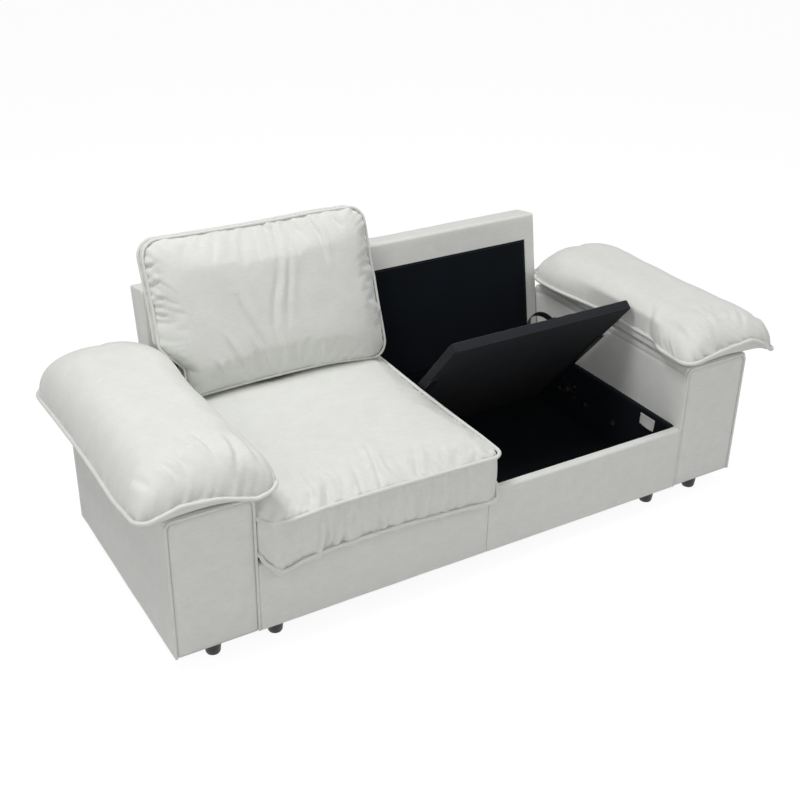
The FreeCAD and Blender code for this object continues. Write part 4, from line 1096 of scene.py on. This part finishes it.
# A pillow's middle and half width, its seam above the arm, and its gap over the arm
PAD_MIDDLE, PAD_HALF, PAD_SEAM, PAD_GAP = 0.920, 0.1985, 0.032, 0.0006
PAD_CORNERS, PAD_PULL = (0.140, 0.070, 0.042, 0.042), 0.008
PAD_CROWN, PAD_FOOT, PAD_FOOT_TURN, PAD_CONTACT = 0.112, 0.082, 60.0, 0.084
PAD_TILT = 4.5
# The set-back behind the front face: where it starts and ends, and its two shoulders
BAY_START, BAY_END, BAY_RISE, BAY_FALL = 0.089, 0.690, 0.082, 0.293


def set_back(y):
    """How much of the set-back a pillow has at each place along Y."""
    start, stop = FRONT + BAY_START, FRONT + BAY_END
    return fade(y, start, start + BAY_RISE) * (1 - fade(y, stop - BAY_FALL, stop))


def arm_pillow(word, side):
    """A pillow over an arm, built towards +X for either side and turned at the end."""
    centre, outer = outline_of(f"arm_pad_piping_{word}", 0.0085)
    middle, half = np.array((PAD_MIDDLE, centre[1])), (PAD_HALF, outer[1])
    arm_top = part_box(f"arm_cover_{word}")[1].z
    seam_z, crown_z = arm_top + PAD_SEAM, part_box(f"arm_pad_{word}")[1].z + PAD_LOFT[word]
    reach = min(half)

    def bay(inset):
        depth = max(0.0, PAD_BAY[word] - inset)
        return (3, lambda y: depth * set_back(y + middle[1])) if depth else None

    shape = rounding_in(half, PAD_CORNERS, PAD_PULL, bay)
    top = cushion_panel(half, shape, crowned(PAD_CROWN), crown_z - 0.004 - seam_z)
    bottom = cushion_panel(half, shape, crowned(PAD_FOOT, PAD_FOOT_TURN),
                           arm_top + PAD_GAP - seam_z)
    thing, loops, beneath = sewn(f"arm_pillow_{word}", top, bottom)
    swollen(thing, np.concatenate((loops[0], beneath[bottom.inward > PAD_CONTACT])), 0.012)
    smoothed(thing)

    points, lie, normals = points_of(thing), lie_of(thing), normals_of(thing)
    above = fade(points[:, 2], -0.004, 0.004)
    front = fade(-points[:, 1], 0.26, 0.40)
    push = gathers(lie, 2.2 + side, 0.030, 0.0034, 0.024)
    push += gathers(lie, 6.6 + side, 0.034, 0.0100, 0.070) * front * above
    push += creases(points[:, :2], PAD_FOLDS) * above * FOLD_DEPTH * (1.0 if side < 0 else 0.7)
    push += noise_at(points / 0.12 + 9 * side) * 0.005 * above
    points += normals * (push * (0.25 + 0.75 * above))[:, None]

    def placed(local):
        x, y = local[:, 0] + middle[0], local[:, 1] + middle[1]
        near = np.exp(-np.maximum(0, np.abs(local[:, 2]) - 0.004) / 0.045)
        lift = -math.tan(math.radians(PAD_TILT)) * local[:, 0] * near
        wave = np.interp(x, *FRONT_SEAM[word]) - seam_z
        at_front = fade(-local[:, 1], 0.24, 0.44)
        lift = lift * (1 - at_front) + wave * near * at_front
        clear = np.maximum(arm_top + PAD_GAP - seam_z, local[:, 2])
        z = clear + lift * fade(local[:, 2], arm_top + 0.002 - seam_z, arm_top + 0.026 - seam_z)
        if side > 0:
            # Room for the lid, up to where it has swung clear
            swing = set_back(y) * (1 - fade(z + seam_z, 0.640, 0.660))
            x = np.maximum(x, 0.700 + 0.0455 * swing)
        # It presses on the backrest's end
        x = np.maximum(x, 0.7145 + 0.0485 * fade(y, 0.328, 0.352))
        return np.column_stack((x * side, y, z + seam_z))

    put_points(thing, placed(points))
    if side < 0:
        thing.data.flip_normals()
    ride_on(thing, "sofa", "upholstery", f"arm_pad_{word}", f"arm_pad_filling_{word}")
    line = at_level(top.rim()[:, :2] * (1 + 0.003 / reach), 0.0)
    piping(f"arm_pillow_welt_{word}", [(placed(line), True)], "sofa", f"arm_pad_piping_{word}",
           sizes().pad_welt / 2, 0.0014)


# Arms
def arms():
    for word, side in SIDES:
        low, high = resting_box(f"arm_cover_{word}")
        seam = high[2] - 0.026
        inner, outer = (low[0], high[0]) if side > 0 else (high[0], low[0])
        corners = [(inner, low[2]), (inner, seam - 0.003), (inner + side * 0.0022, seam),
                   (inner, seam + 0.003), (inner, high[2]), (outer, high[2]), (outer, low[2])]
        profile = rounded(corners, (0.004, 0, 0, 0, 0.012, 0.012, 0.004), 0.014)
        cover = extruded(f"arm_fabric_{word}", profile, "y", low[1] - 0.0008, high[1], 0.002, 0.014,
                         "upholstery")
        uneven(cover, 0.0016, 0.14, 2.0 + side)
        # The cloth is bunched where the arm meets the backrest's end
        points = points_of(cover)
        near = 1 - fade(np.abs(points[:, 0] - inner), 0.010, 0.045)
        bunch = near * fade(points[:, 1], high[1] - 0.060, high[1] - 0.012)
        bunch *= fade(points[:, 2], RIM + 0.004, RIM + 0.050)
        points[:, 0] -= side * 0.0165 * bunch
        put_points(cover, points)
        ride_on(cover, "sofa", "upholstery", f"arm_cover_{word}")
        x = inner + side * 0.0012
        line = [(x, y, seam) for y in np.linspace(low[1] + 0.012, high[1] - 0.012, 60)]
        stitching(f"arm_seam_{word}", [(line, False)], "sofa", "upholstery", "grey_thread")


def arm_fronts():
    for word, side in SIDES:
        rear = resting_box(f"arm_front_panel_{word}")[1][1]
        centre, half = outline_of(f"arm_front_panel_{word}", axes=(0, 2))
        reach = min(half)

        def shape(inset, a, b):
            limit = max(0.0005, reach - inset) * 0.9
            radii = [min(r, limit) for r in (0.017, 0.017, 0.004, 0.004)]
            return ring(half[0] - inset, half[1] - inset, radii, 0.0, a, b)

        rise = crowned(0.040)
        top = Panel(24, 44, half, shape, lambda s: rise(s * reach), 0.0055)
        back = Panel(24, 44, half, shape, lambda s: 0.0, 0.0)
        top.points[:, :, 2] += 0.0040
        thing, *rest = sewn(f"arm_front_fabric_{word}", top, back)
        local = points_of(thing)
        sway = noise_at(at_level(local[:, :2] / 0.09, side))
        local[:, 2] += sway * 0.0012 * fade(local[:, 2], 0.004, 0.009)
        put_points(thing, np.column_stack((centre[0] + local[:, 0], rear - local[:, 2],
                                           centre[1] + local[:, 1])))
        ride_on(thing, "sofa", "upholstery", f"arm_front_panel_{word}")

        box_low, box_high = resting_box(f"arm_piping_{word}")
        radius = sizes().arm_welt / 2
        left, right = box_low[0] + radius, box_high[0] - radius
        y, foot, top_z = box_low[1] + radius, box_low[2], box_high[2] - radius
        bend = 0.0215
        turns = np.radians(np.linspace(0, 90, 9))
        line = [(left, y, z) for z in np.linspace(foot, top_z - bend, 60)]
        line += [(left + bend * (1 - math.cos(t)), y, top_z - bend * (1 - math.sin(t)))
                 for t in turns[1:]]
        line += [(right - bend * (1 - math.sin(t)), y, top_z - bend * (1 - math.cos(t)))
                 for t in turns]
        line += [(right, y, z) for z in np.linspace(top_z - bend, foot, 60)[1:]]
        piping(f"arm_front_welt_{word}", [(line, False)], "sofa", f"arm_piping_{word}", radius,
               0.0005)


# Seat boxes
def base_fronts():
    for word, side in SIDES:
        low, high = resting_box(f"base_cover_{word}")
        skin = 0.006
        corners = [(low[1], low[2]), (low[1], high[2]), (high[1], high[2]),
                   (high[1], high[2] - skin), (low[1] + skin, high[2] - skin),
                   (low[1] + skin, low[2])]
        profile = rounded(corners, (0.002, 0.010, 0.0025, 0.001, 0.001, 0.002), 0.016)
        thing = extruded(f"base_fabric_{word}", profile, "x", low[0], high[0], 0.0024, 0.016,
                         "upholstery")
        points = points_of(thing)
        facing = fade(-points[:, 1], -low[1] - 0.003, -low[1] - 0.0005)
        sway = noise_at(at_level(points[:, (0, 2)] / (0.17, 0.12), side))
        points[:, 1] += sway * 0.0016 * facing
        put_points(thing, points)
        ride_on(thing, "sofa", "upholstery", f"base_cover_{word}")


# A box lining's inset from the middle and the arm, its lift off the boards, and how far its
# walls wave
LINING_SIDE, LINING_SKIN, LINING_WAVE = 0.023, 0.003, 0.0008


def box_linings():
    for word, side in SIDES:
        low, high = resting_box(f"box_lining_{word}")
        near, far = (low[0], high[0]) if side > 0 else (-high[0], -low[0])
        front, rear = low[1] + LINING_SKIN, high[1] - LINING_SKIN
        inner = (LINING_SIDE, far - LINING_SIDE)
        middle = np.array(((inner[0] + inner[1]) / 2, (front + rear) / 2))
        half = ((inner[1] - inner[0]) / 2, (rear - front) / 2)
        floor = low[2] + LINING_SKIN

        def shape(inset, a, b):
            radius = min(0.010, max(0.001, (min(half) - inset) * 0.9))
            return ring(half[0] - inset, half[1] - inset, (radius,) * 4, 0.0, a, b)

        panel = Panel(48, 50, half, shape, lambda s: 0.0, 0.0)
        base = panel.points.reshape(-1, 3) + (*middle, floor)
        index = np.arange(len(base)).reshape(panel.points.shape[:2])
        faces = quads(index)
        loops = [np.array([index[p] for p in panel.seam])]
        seam = base[loops[0]]
        top = high[2]
        points = [base]
        levels = np.linspace(floor, top - LINING_SKIN, 16)[1:]
        points += [at_level(seam[:, :2], z) for z in levels]
        # Over the rim, out to the arm, the middle and the backrest, not over the front
        for share, z in ((0.12, top - 0.0006), (0.3, top), (1.0, top)):
            wide = seam[:, :2].copy()
            room = np.where(wide[:, 0] > middle[0], far - inner[1], inner[0] - near)
            edge = np.abs(wide[:, 0] - middle[0]) > half[0] - 0.0105
            wide[:, 0] += np.sign(wide[:, 0] - middle[0]) * room * share * edge
            wide[:, 1] += np.where(wide[:, 1] > middle[1] + half[1] - 0.0105, 0.003, 0) * share
            points.append(at_level(wide, z))
        starts = len(base) + len(seam) * np.arange(len(points) - 1)
        loops += [start + np.arange(len(seam)) for start in starts]
        for lower, upper in zip(loops, loops[1:]):
            faces += np.stack((lower, np.roll(lower, -1), np.roll(upper, -1), upper), 1).tolist()
        points = np.concatenate(points)
        inwards = at_level(middle - points[:, :2], 0.0)
        wall = (points[:, 2] > floor + 0.01) & (points[:, 2] < top - 0.02)
        sway = (0.5 + noise_at(points / 0.11)) * LINING_WAVE * wall
        inwards /= np.maximum(np.linalg.norm(inwards, axis=1, keepdims=True), 0.05)
        points += inwards * np.maximum(sway, 0)[:, None]
        points[:, 0] *= side
        thing = make(f"box_felt_{word}", points, faces, "felt")
        outward(thicken(thing, 0.0026, -side))
        ride_on(thing, "sofa", "black_cloth", f"box_lining_{word}")


def bottom_cloth():
    low, high = resting_box("bottom_cloth")
    xs = np.linspace(low[0], high[0], 90)
    ys = np.linspace(low[1], high[1], 46)
    grid = np.zeros((len(xs), len(ys), 3))
    grid[:, :, 0], grid[:, :, 1] = xs[:, None], ys[None, :]
    index = np.arange(len(xs) * len(ys)).reshape(grid.shape[:2])
    points = grid.reshape(-1, 3)
    held = np.minimum.reduce([points[:, 0] - low[0], high[0] - points[:, 0],
                              points[:, 1] - low[1], high[1] - points[:, 1]])
    for x, y in foot_centres():
        held = np.minimum(held, np.maximum(0, np.hypot(points[:, 0] - x, points[:, 1] - y) - 0.04))
    sway = 0.5 + noise_at(at_level(points[:, :2] / 0.3, 5))
    points[:, 2] = low[2] + 0.0002 - fade(held, 0.0, 0.2) * np.abs(sway) * 0.006
    thing = make("underside_cloth", points, quads(index, True), "felt")
    thicken(thing, 0.0007)
    ride_on(thing, "sofa", "black_cloth", "bottom_cloth")


def care_label():
    """A blank ribbon label, sewn along its upper edge, its lower edge a little curled."""
    low, high = resting_box("care_label")
    ys = np.linspace(low[1], high[1], 22)
    zs = np.linspace(low[2], high[2], 12)
    points, index = [], np.arange(len(ys) * len(zs)).reshape(len(ys), len(zs))
    for y in ys:
        for z in zs:
            hang = 1 - (z - low[2]) / (high[2] - low[2])
            curl = 0.004 * hang ** 2 * (1 + 0.6 * math.sin((y - low[1]) * 60))
            points.append((low[0] - curl, y, z))
    thing = make("blank_label", points, quads(index), "satin")
    outward(thicken(thing, 0.0005, 1.0))
    ride_on(thing, "sofa", "label_cloth", "care_label")


# Backrest: its lean in degrees, the fabric band over the felt panel, and the panel's
# thickness, its lift off the fabric and its seam's inset
BACKREST_LEAN = 9.6
FELT_BAND, FELT_THICK, FELT_LIFT, FELT_SEAM = 0.092, 0.0024, 0.0010, 0.006


def backrest_sizes():
    low, high = resting_box("back_cover_right")
    lean = math.radians(BACKREST_LEAN)
    length = (high[2] - RIM) / math.cos(lean)
    depth = (high[1] - low[1] - length * math.sin(lean)) / math.cos(lean)
    return low, lean, length, depth


def backrests():
    low, lean, length, depth = backrest_sizes()
    foot = low[1]
    sin, cos = math.sin(lean), math.cos(lean)
    rise = RIM - low[2]
    corners = [(foot, RIM), (foot + length * sin, RIM + length * cos),
               (foot + length * sin + depth * cos, RIM + length * cos - depth * sin),
               (foot + depth / cos - rise * sin / cos, low[2]), (foot + 0.020, low[2]),
               (foot + 0.020, RIM)]
    profile = rounded(corners, (0.002, 0.011, 0.011, 0.006, 0.003, 0), 0.018)
    for word, side in SIDES:
        ends = resting_box(f"back_cover_{word}")
        thing = extruded(f"back_fabric_{word}", profile, "x", ends[0][0], ends[1][0], 0.005, 0.018,
                         "upholstery")
        uneven(thing, 0.0014, 0.13, 6.0 + side)
        ride_on(thing, "sofa", "upholstery", f"back_cover_{word}")


def back_linings():
    low, lean, length = backrest_sizes()[:3]
    way = np.array((math.sin(lean), math.cos(lean)))
    out = np.array((-math.cos(lean), math.sin(lean)))
    tall = length - FELT_BAND
    for word, side in SIDES:
        ends = resting_box(f"back_lining_{word}")
        xs = np.linspace(ends[0][0], ends[1][0], 60)
        ups = np.linspace(0.0, tall, 36)
        points = []
        for x in xs:
            for s in ups:
                edge = min(x - xs[0], xs[-1] - x, tall - s, 0.05) / 0.05
                swell = abs(noise.noise((x / 0.12, s / 0.15, side)) + 0.4)
                lift = FELT_LIFT + 0.0018 * edge * swell
                y, z = np.array((low[1], RIM)) + way * s + out * (lift + 0.0008)
                points.append((x, y, z))
        index = np.arange(len(points)).reshape(len(xs), len(ups))
        thing = make(f"back_felt_{word}", points, quads(index), "felt")
        outward(thicken(thing, FELT_THICK))
        ride_on(thing, "sofa", "black_cloth", f"back_lining_{word}")
        line = []
        left, right, top = xs[0] + FELT_SEAM, xs[-1] - FELT_SEAM, tall - FELT_SEAM
        for x, s in ((left, 0.02), (left, top), (right, top), (right, 0.02)):
            y, z = np.array((low[1], RIM)) + way * s + out * 0.0022
            line.append((x, y, z))
        stitching(f"back_felt_seam_{word}", [(line, False)], "sofa")


# Lids
def turned(points, is_open):
    """From a closed lid measured at its pivot to its place at rest."""
    turn = math.radians(LID_OPEN) if is_open else 0.0
    y = PIVOT[0] + points[:, 1] * math.cos(turn) + points[:, 2] * math.sin(turn)
    z = PIVOT[1] - points[:, 1] * math.sin(turn) + points[:, 2] * math.cos(turn)
    return np.column_stack((points[:, 0], y, z))


def lids():
    closed_low, closed_high = resting_box("lid_cover_left")
    near, far = -closed_high[0], -closed_low[0]
    low = (near, closed_low[1] - PIVOT[0], closed_low[2] - PIVOT[1])
    high = (far, closed_high[1] - PIVOT[0], closed_high[2] - PIVOT[1])
    for word, side in SIDES:
        is_open = side > 0
        thing = soft_box(f"lid_cloth_{word}", low, high, 0.0065, 0.014, "lid")
        local = points_of(thing)
        top = fade(local[:, 2], high[2] - 0.006, high[2] - 0.001)
        inside = np.minimum.reduce([local[:, 0] - near, far - local[:, 0],
                                    local[:, 1] - low[1], high[1] - local[:, 1]])
        sway = noise_at(at_level(local[:, :2] / 0.15, 3))
        local[:, 2] += top * (fade(inside, 0.0, 0.06) * 0.0014 - 0.0006 + sway * 0.0008)
        pull = noise_at(at_level(local[:, :2] / 0.028, 1))
        rim = 1 - fade(inside, 0.012, 0.050)
        local[:, 2] += top * rim * pull * 0.0012
        local[:, 0] *= side
        put_points(thing, turned(local, is_open))
        if side < 0:
            thing.data.flip_normals()
        body = "right_lid" if is_open else "sofa"
        ride_on(thing, body, "black_cloth", f"lid_cover_{word}")
        ends = near + 0.012, far - 0.012
        line = np.array([(x, low[1] + 0.0002, low[2] + 0.004) for x in ends])
        line[:, 0] *= side
        stitching(f"lid_seam_{word}", [(turned(line, is_open), False)], body)


def pull_straps():
    """Webbing loops, sewn down at both ends just behind each lid's front edge."""
    closed = resting_box("lid_cover_left")
    middle = -(closed[0][0] + closed[1][0]) / 2
    top = closed[1][2] - PIVOT[1]
    front = closed[0][1] - PIVOT[0] + 0.006
    half, tab, rise, width, thick = 0.043, 0.013, 0.034, 0.026, 0.0024
    for word, side in SIDES:
        is_open = side > 0
        if is_open:
            radius = (half ** 2 + (rise - thick) ** 2) / (2 * (rise - thick))
            reach = math.asin(half / radius)
            arc = [(radius * math.sin(t), rise - thick / 2 - radius * (1 - math.cos(t)))
                   for t in np.linspace(-reach, reach, 25)]
        else:
            arc = [(x, thick / 2) for x in np.linspace(-half, half, 15)]
        line = [(-half - tab, thick / 2), (-half - tab / 2, thick / 2)] + arc
        line += [(half + tab / 2, thick / 2), (half + tab, thick / 2)]
        line = np.array(line)
        tangent = np.gradient(line, axis=0)
        tangent /= np.linalg.norm(tangent, axis=1, keepdims=True)
        normal = np.column_stack((-tangent[:, 1], tangent[:, 0]))
        section = [(0.0012, 0.5), (0.0, 0.25), (0.0, -0.25), (0.0012, -0.5),
                   (width - 0.0012, -0.5), (width, -0.25), (width, 0.25), (width - 0.0012, 0.5)]
        vertices = []
        for (x, z), (nx, nz) in zip(line, normal):
            vertices += [(x + nx * thick * t, a, z + nz * thick * t) for a, t in section]
        size = len(section)
        faces = [(k * size + n, k * size + (n + 1) % size, (k + 1) * size + (n + 1) % size,
                  (k + 1) * size + n) for k in range(len(line) - 1) for n in range(size)]
        faces += [tuple(range(size)), tuple(range(len(vertices) - size, len(vertices)))]
        points = np.array(vertices) + (middle, front, top + 0.0003)
        points[:, 0] *= side
        thing = outward(make(f"strap_webbing_{word}", turned(points, is_open), faces, "webbing"))
        body = "right_lid" if is_open else "sofa"
        ride_on(thing, body, "black_cloth", f"pull_strap_{word}")
        lines = []
        for end in (-1, 1):
            xs = (end * (half + tab - 0.002), end * (half + 0.001))
            path = [(xs[0], 0.003), (xs[1], 0.003), (xs[1], width - 0.003),
                    (xs[0], width - 0.003), (xs[0], 0.003), (xs[1], width - 0.003)]
            local = np.array([(side * (middle + x), front + y, top + thick + 0.0006)
                              for x, y in path])
            lines.append((turned(local, is_open), False))
        stitching(f"strap_stitches_{word}", lines, body, stitch=0.003, thick=0.0005)


# Feet and metalwork
SEAT_FOOT_FROM_ARM = 0.066


def foot_centres():
    low, high = resting_box("front_feet")
    reach = (high[1] - low[1]) / 2
    arm, seat = high[0] - reach, ARM_INNER - SEAT_FOOT_FROM_ARM
    rows = low[1] + reach, resting_box("rear_feet")[0][1] + reach
    return [(x, y) for y in rows for x in (-arm, -seat, seat, arm)]


def feet():
    """Moulded feet: a tapered cup with a rounded lip and a thin glide under it."""
    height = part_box("front_feet")[1].z
    profile = ((0.0185, 0.0), (0.0200, 0.0004), (0.0205, 0.0020), (0.0205, 0.0026),
               (0.0212, 0.0030), (0.0220, 0.0042), (0.0232, 0.0150), (0.0245, 0.0280),
               (0.0256, 0.0400), (0.0266, 0.0500), (0.0272, 0.0560), (0.0280, 0.0566),
               (0.0284, 0.0580), (0.0280, height - 0.0004), (0.0274, height))
    centres = foot_centres()
    for name, group, node in (("front_foot_mouldings", centres[:4], "front_feet"),
                              ("rear_foot_mouldings", centres[4:], "rear_feet")):
        thing = lathed(name, profile, group, "feet")
        ride_on(thing, "sofa", "foot_plastic", node)


def metalwork():
    for name in NODES:
        for start, finish_name in NODE_FINISHES:
            if name.startswith(start):
                dress(name, finish_name)


# Carried-over nodes by the start of their names
NODE_FINISHES = (
    ("front_board", "timber"), ("side_board", "timber"), ("center_board", "timber"),
    ("rear_board", "timber"), ("floor_panel", "timber"), ("arm_frame", "timber"),
    ("back_frame", "timber"), ("lid_board", "timber"), ("lid_brackets", "coated"),
    ("pivot_plates", "coated"), ("joining_bolts", "zinc"), ("arm_bolts", "zinc"),
    ("back_bolts", "zinc"), ("foot_studs", "zinc"), ("pivot_pins", "zinc"),
    ("plate_screws", "zinc"),
)


# Stage
# Lamps: name, place, size and power. Camera: turn, tilt and roll in degrees, and the rest
LAMPS = (("key", (-1.7, -0.2, 4.1), 1.2, 66), ("top", (1.3, 0.1, 4.2), 1.8, 33),
         ("front", (-3.2, -2.6, 2.4), 2.2, 26), ("fill", (2.6, -3.4, 2.6), 2.6, 27))
LAMP_AIM = Vector((0, 0, 0.35))
CAMERA_TURNS = (31.298, 28.300, 0.984)
CAMERA_PLACE = (-1.8683, -2.9923, 2.2867)
CAMERA_LENS, CAMERA_SENSOR = 54.647, 36.0
FLOOR_REACH, FLOOR_GLOW, FLOOR_SHARE, WORLD_LIGHT = 14.0, 1.13, 0.82, 0.34


def cleared(owner):
    """An owner's node tree, emptied."""
    owner.use_nodes = True
    owner.node_tree.nodes.clear()
    return owner.node_tree


def seen_directly(tree):
    """1 where the camera, a reflection or a clear material looks at the surface."""
    path = add(tree, "ShaderNodeLightPath")
    seen = path.outputs["Is Camera Ray"]
    for kind in ("Is Glossy Ray", "Is Transmission Ray"):
        seen = add(tree, "ShaderNodeMath", {"operation": "MAXIMUM"}, i0=seen,
                   i1=path.outputs[kind]).outputs[0]
    return seen


def stage():
    """A white floor, a white surround, four soft lamps and the camera."""
    scene = bpy.context.scene
    scene.view_settings.view_transform = "Standard"
    ends = (-1, -1), (1, -1), (1, 1), (-1, 1)
    corners = [(x * FLOOR_REACH, y * FLOOR_REACH, 0) for x, y in ends]
    floor = make("studio_floor", corners, [(0, 1, 2, 3)], None, False)
    material = bpy.data.materials.new("StudioFloorPaint")
    tree = cleared(material)
    share = add(tree, "ShaderNodeMath", {"operation": "MULTIPLY"}, i0=seen_directly(tree),
                i1=FLOOR_SHARE)
    paint = add(tree, "ShaderNodeBsdfDiffuse", Color=(0.8, 0.8, 0.8, 1))
    glow = add(tree, "ShaderNodeEmission", Color=(1, 1, 1, 1), Strength=FLOOR_GLOW)
    mix = add(tree, "ShaderNodeMixShader", Fac=share.outputs[0], i1=paint.outputs[0],
              i2=glow.outputs[0])
    add(tree, "ShaderNodeOutputMaterial", Surface=mix.outputs[0])
    floor.data.materials.append(material)

    scene.world = bpy.data.worlds.new("studio")
    tree = cleared(scene.world)
    level = add(tree, "ShaderNodeMapRange", Value=seen_directly(tree), i3=WORLD_LIGHT, i4=1.0)
    ground = add(tree, "ShaderNodeBackground", Color=(1, 1, 1, 1), Strength=level.outputs[0])
    add(tree, "ShaderNodeOutputWorld", Surface=ground.outputs[0])

    for name, place, size, power in LAMPS:
        lamp = bpy.data.lights.new(name, "AREA")
        lamp.size, lamp.energy = size, power
        stand = bpy.data.objects.new(name, lamp)
        scene.collection.objects.link(stand)
        turn = (LAMP_AIM - Vector(place)).to_track_quat("-Z", "Y").to_matrix().to_4x4()
        stand.matrix_world = Matrix.Translation(place) @ turn

    yaw, pitch, roll = (math.radians(angle) for angle in CAMERA_TURNS)
    right = Vector((math.cos(yaw), -math.sin(yaw), 0))
    ahead = Vector((math.sin(yaw) * math.cos(pitch), math.cos(yaw) * math.cos(pitch),
                    -math.sin(pitch)))
    up = right.cross(ahead)
    across = right * math.cos(roll) + up * math.sin(roll)
    upward = up * math.cos(roll) - right * math.sin(roll)
    camera = bpy.data.cameras.new("camera")
    camera.sensor_width, camera.lens, camera.clip_end = CAMERA_SENSOR, CAMERA_LENS, 60
    eye = bpy.data.objects.new("camera", camera)
    scene.collection.objects.link(eye)
    turn = Matrix((across, upward, -ahead)).transposed().to_4x4()
    eye.matrix_world = Matrix.Translation(CAMERA_PLACE) @ turn
    scene.camera = eye


def operator(call, label, description):
    """An operator that makes one group of pieces."""
    def execute(self, context):
        call()
        return {"FINISHED"}
    return type(call.__name__.title().replace("_", ""), (bpy.types.Operator,), {
        "__doc__": description, "bl_idname": f"sofa.{call.__name__}", "bl_label": label,
        "execute": execute})


OPERATORS = tuple(operator(*row) for row in (
    (arms, "Arms", "Covers both arms"),
    (arm_fronts, "Arm fronts", "Pads and pipes the arm fronts"),
    (base_fronts, "Seat box fronts", "Covers the front of both seat boxes"),
    (box_linings, "Box linings", "Lines both storage boxes with felt"),
    (bottom_cloth, "Underside cloth", "Stretches the dust cloth under the body"),
    (care_label, "Blank label", "Sews the blank label to the box's side"),
    (backrests, "Backrests", "Covers both backrest sections"),
    (back_linings, "Backrest linings", "Sews the felt panels on the backrest's front"),
    (lids, "Lids", "Covers both seat lids"),
    (pull_straps, "Pull straps", "Sews a webbing strap to each lid"),
    (feet, "Feet", "Moulds the eight feet"),
    (metalwork, "Boards and metalwork", "Gives the boards, brackets and bolts their finishes"),
    (seat_cushion, "Seat cushion", "Sews the loose seat cushion with its two pipings"),
    (back_cushion, "Back cushion", "Sews the loose back cushion with its two pipings"),
    (arm_pillows, "Arm pillows", "Sews the pillow on each arm with its welt"),
    (stage, "Stage", "Sets the floor, the lamps and the camera"),
))


class SofaPanel(bpy.types.Panel):
    """Lists the sofa's pieces and their sizes"""
    bl_idname = "VIEW3D_PT_sofa"
    bl_label = "Storage sofa"
    bl_space_type = "VIEW_3D"
    bl_region_type = "UI"
    bl_category = "Sofa"

    def draw(self, context):
        for group in (context.scene.sofa_sizes, context.scene.sofa_colours):
            for name in group.__annotations__:
                self.layout.prop(group, name)
        for operator in OPERATORS:
            self.layout.operator(operator.bl_idname)


CLASSES = (SofaSizes, SofaColours, *OPERATORS, SofaPanel)


def register():
    for item in CLASSES:
        bpy.utils.register_class(item)
    bpy.types.Scene.sofa_sizes = PointerProperty(type=SofaSizes)
    bpy.types.Scene.sofa_colours = PointerProperty(type=SofaColours)


def unregister():
    del bpy.types.Scene.sofa_sizes
    del bpy.types.Scene.sofa_colours
    for item in reversed(CLASSES):
        bpy.utils.unregister_class(item)


def main():
    register()
    for operator in OPERATORS:
        getattr(bpy.ops.sofa, operator.bl_idname.partition(".")[2])()


if __name__ == "__main__":
    main()
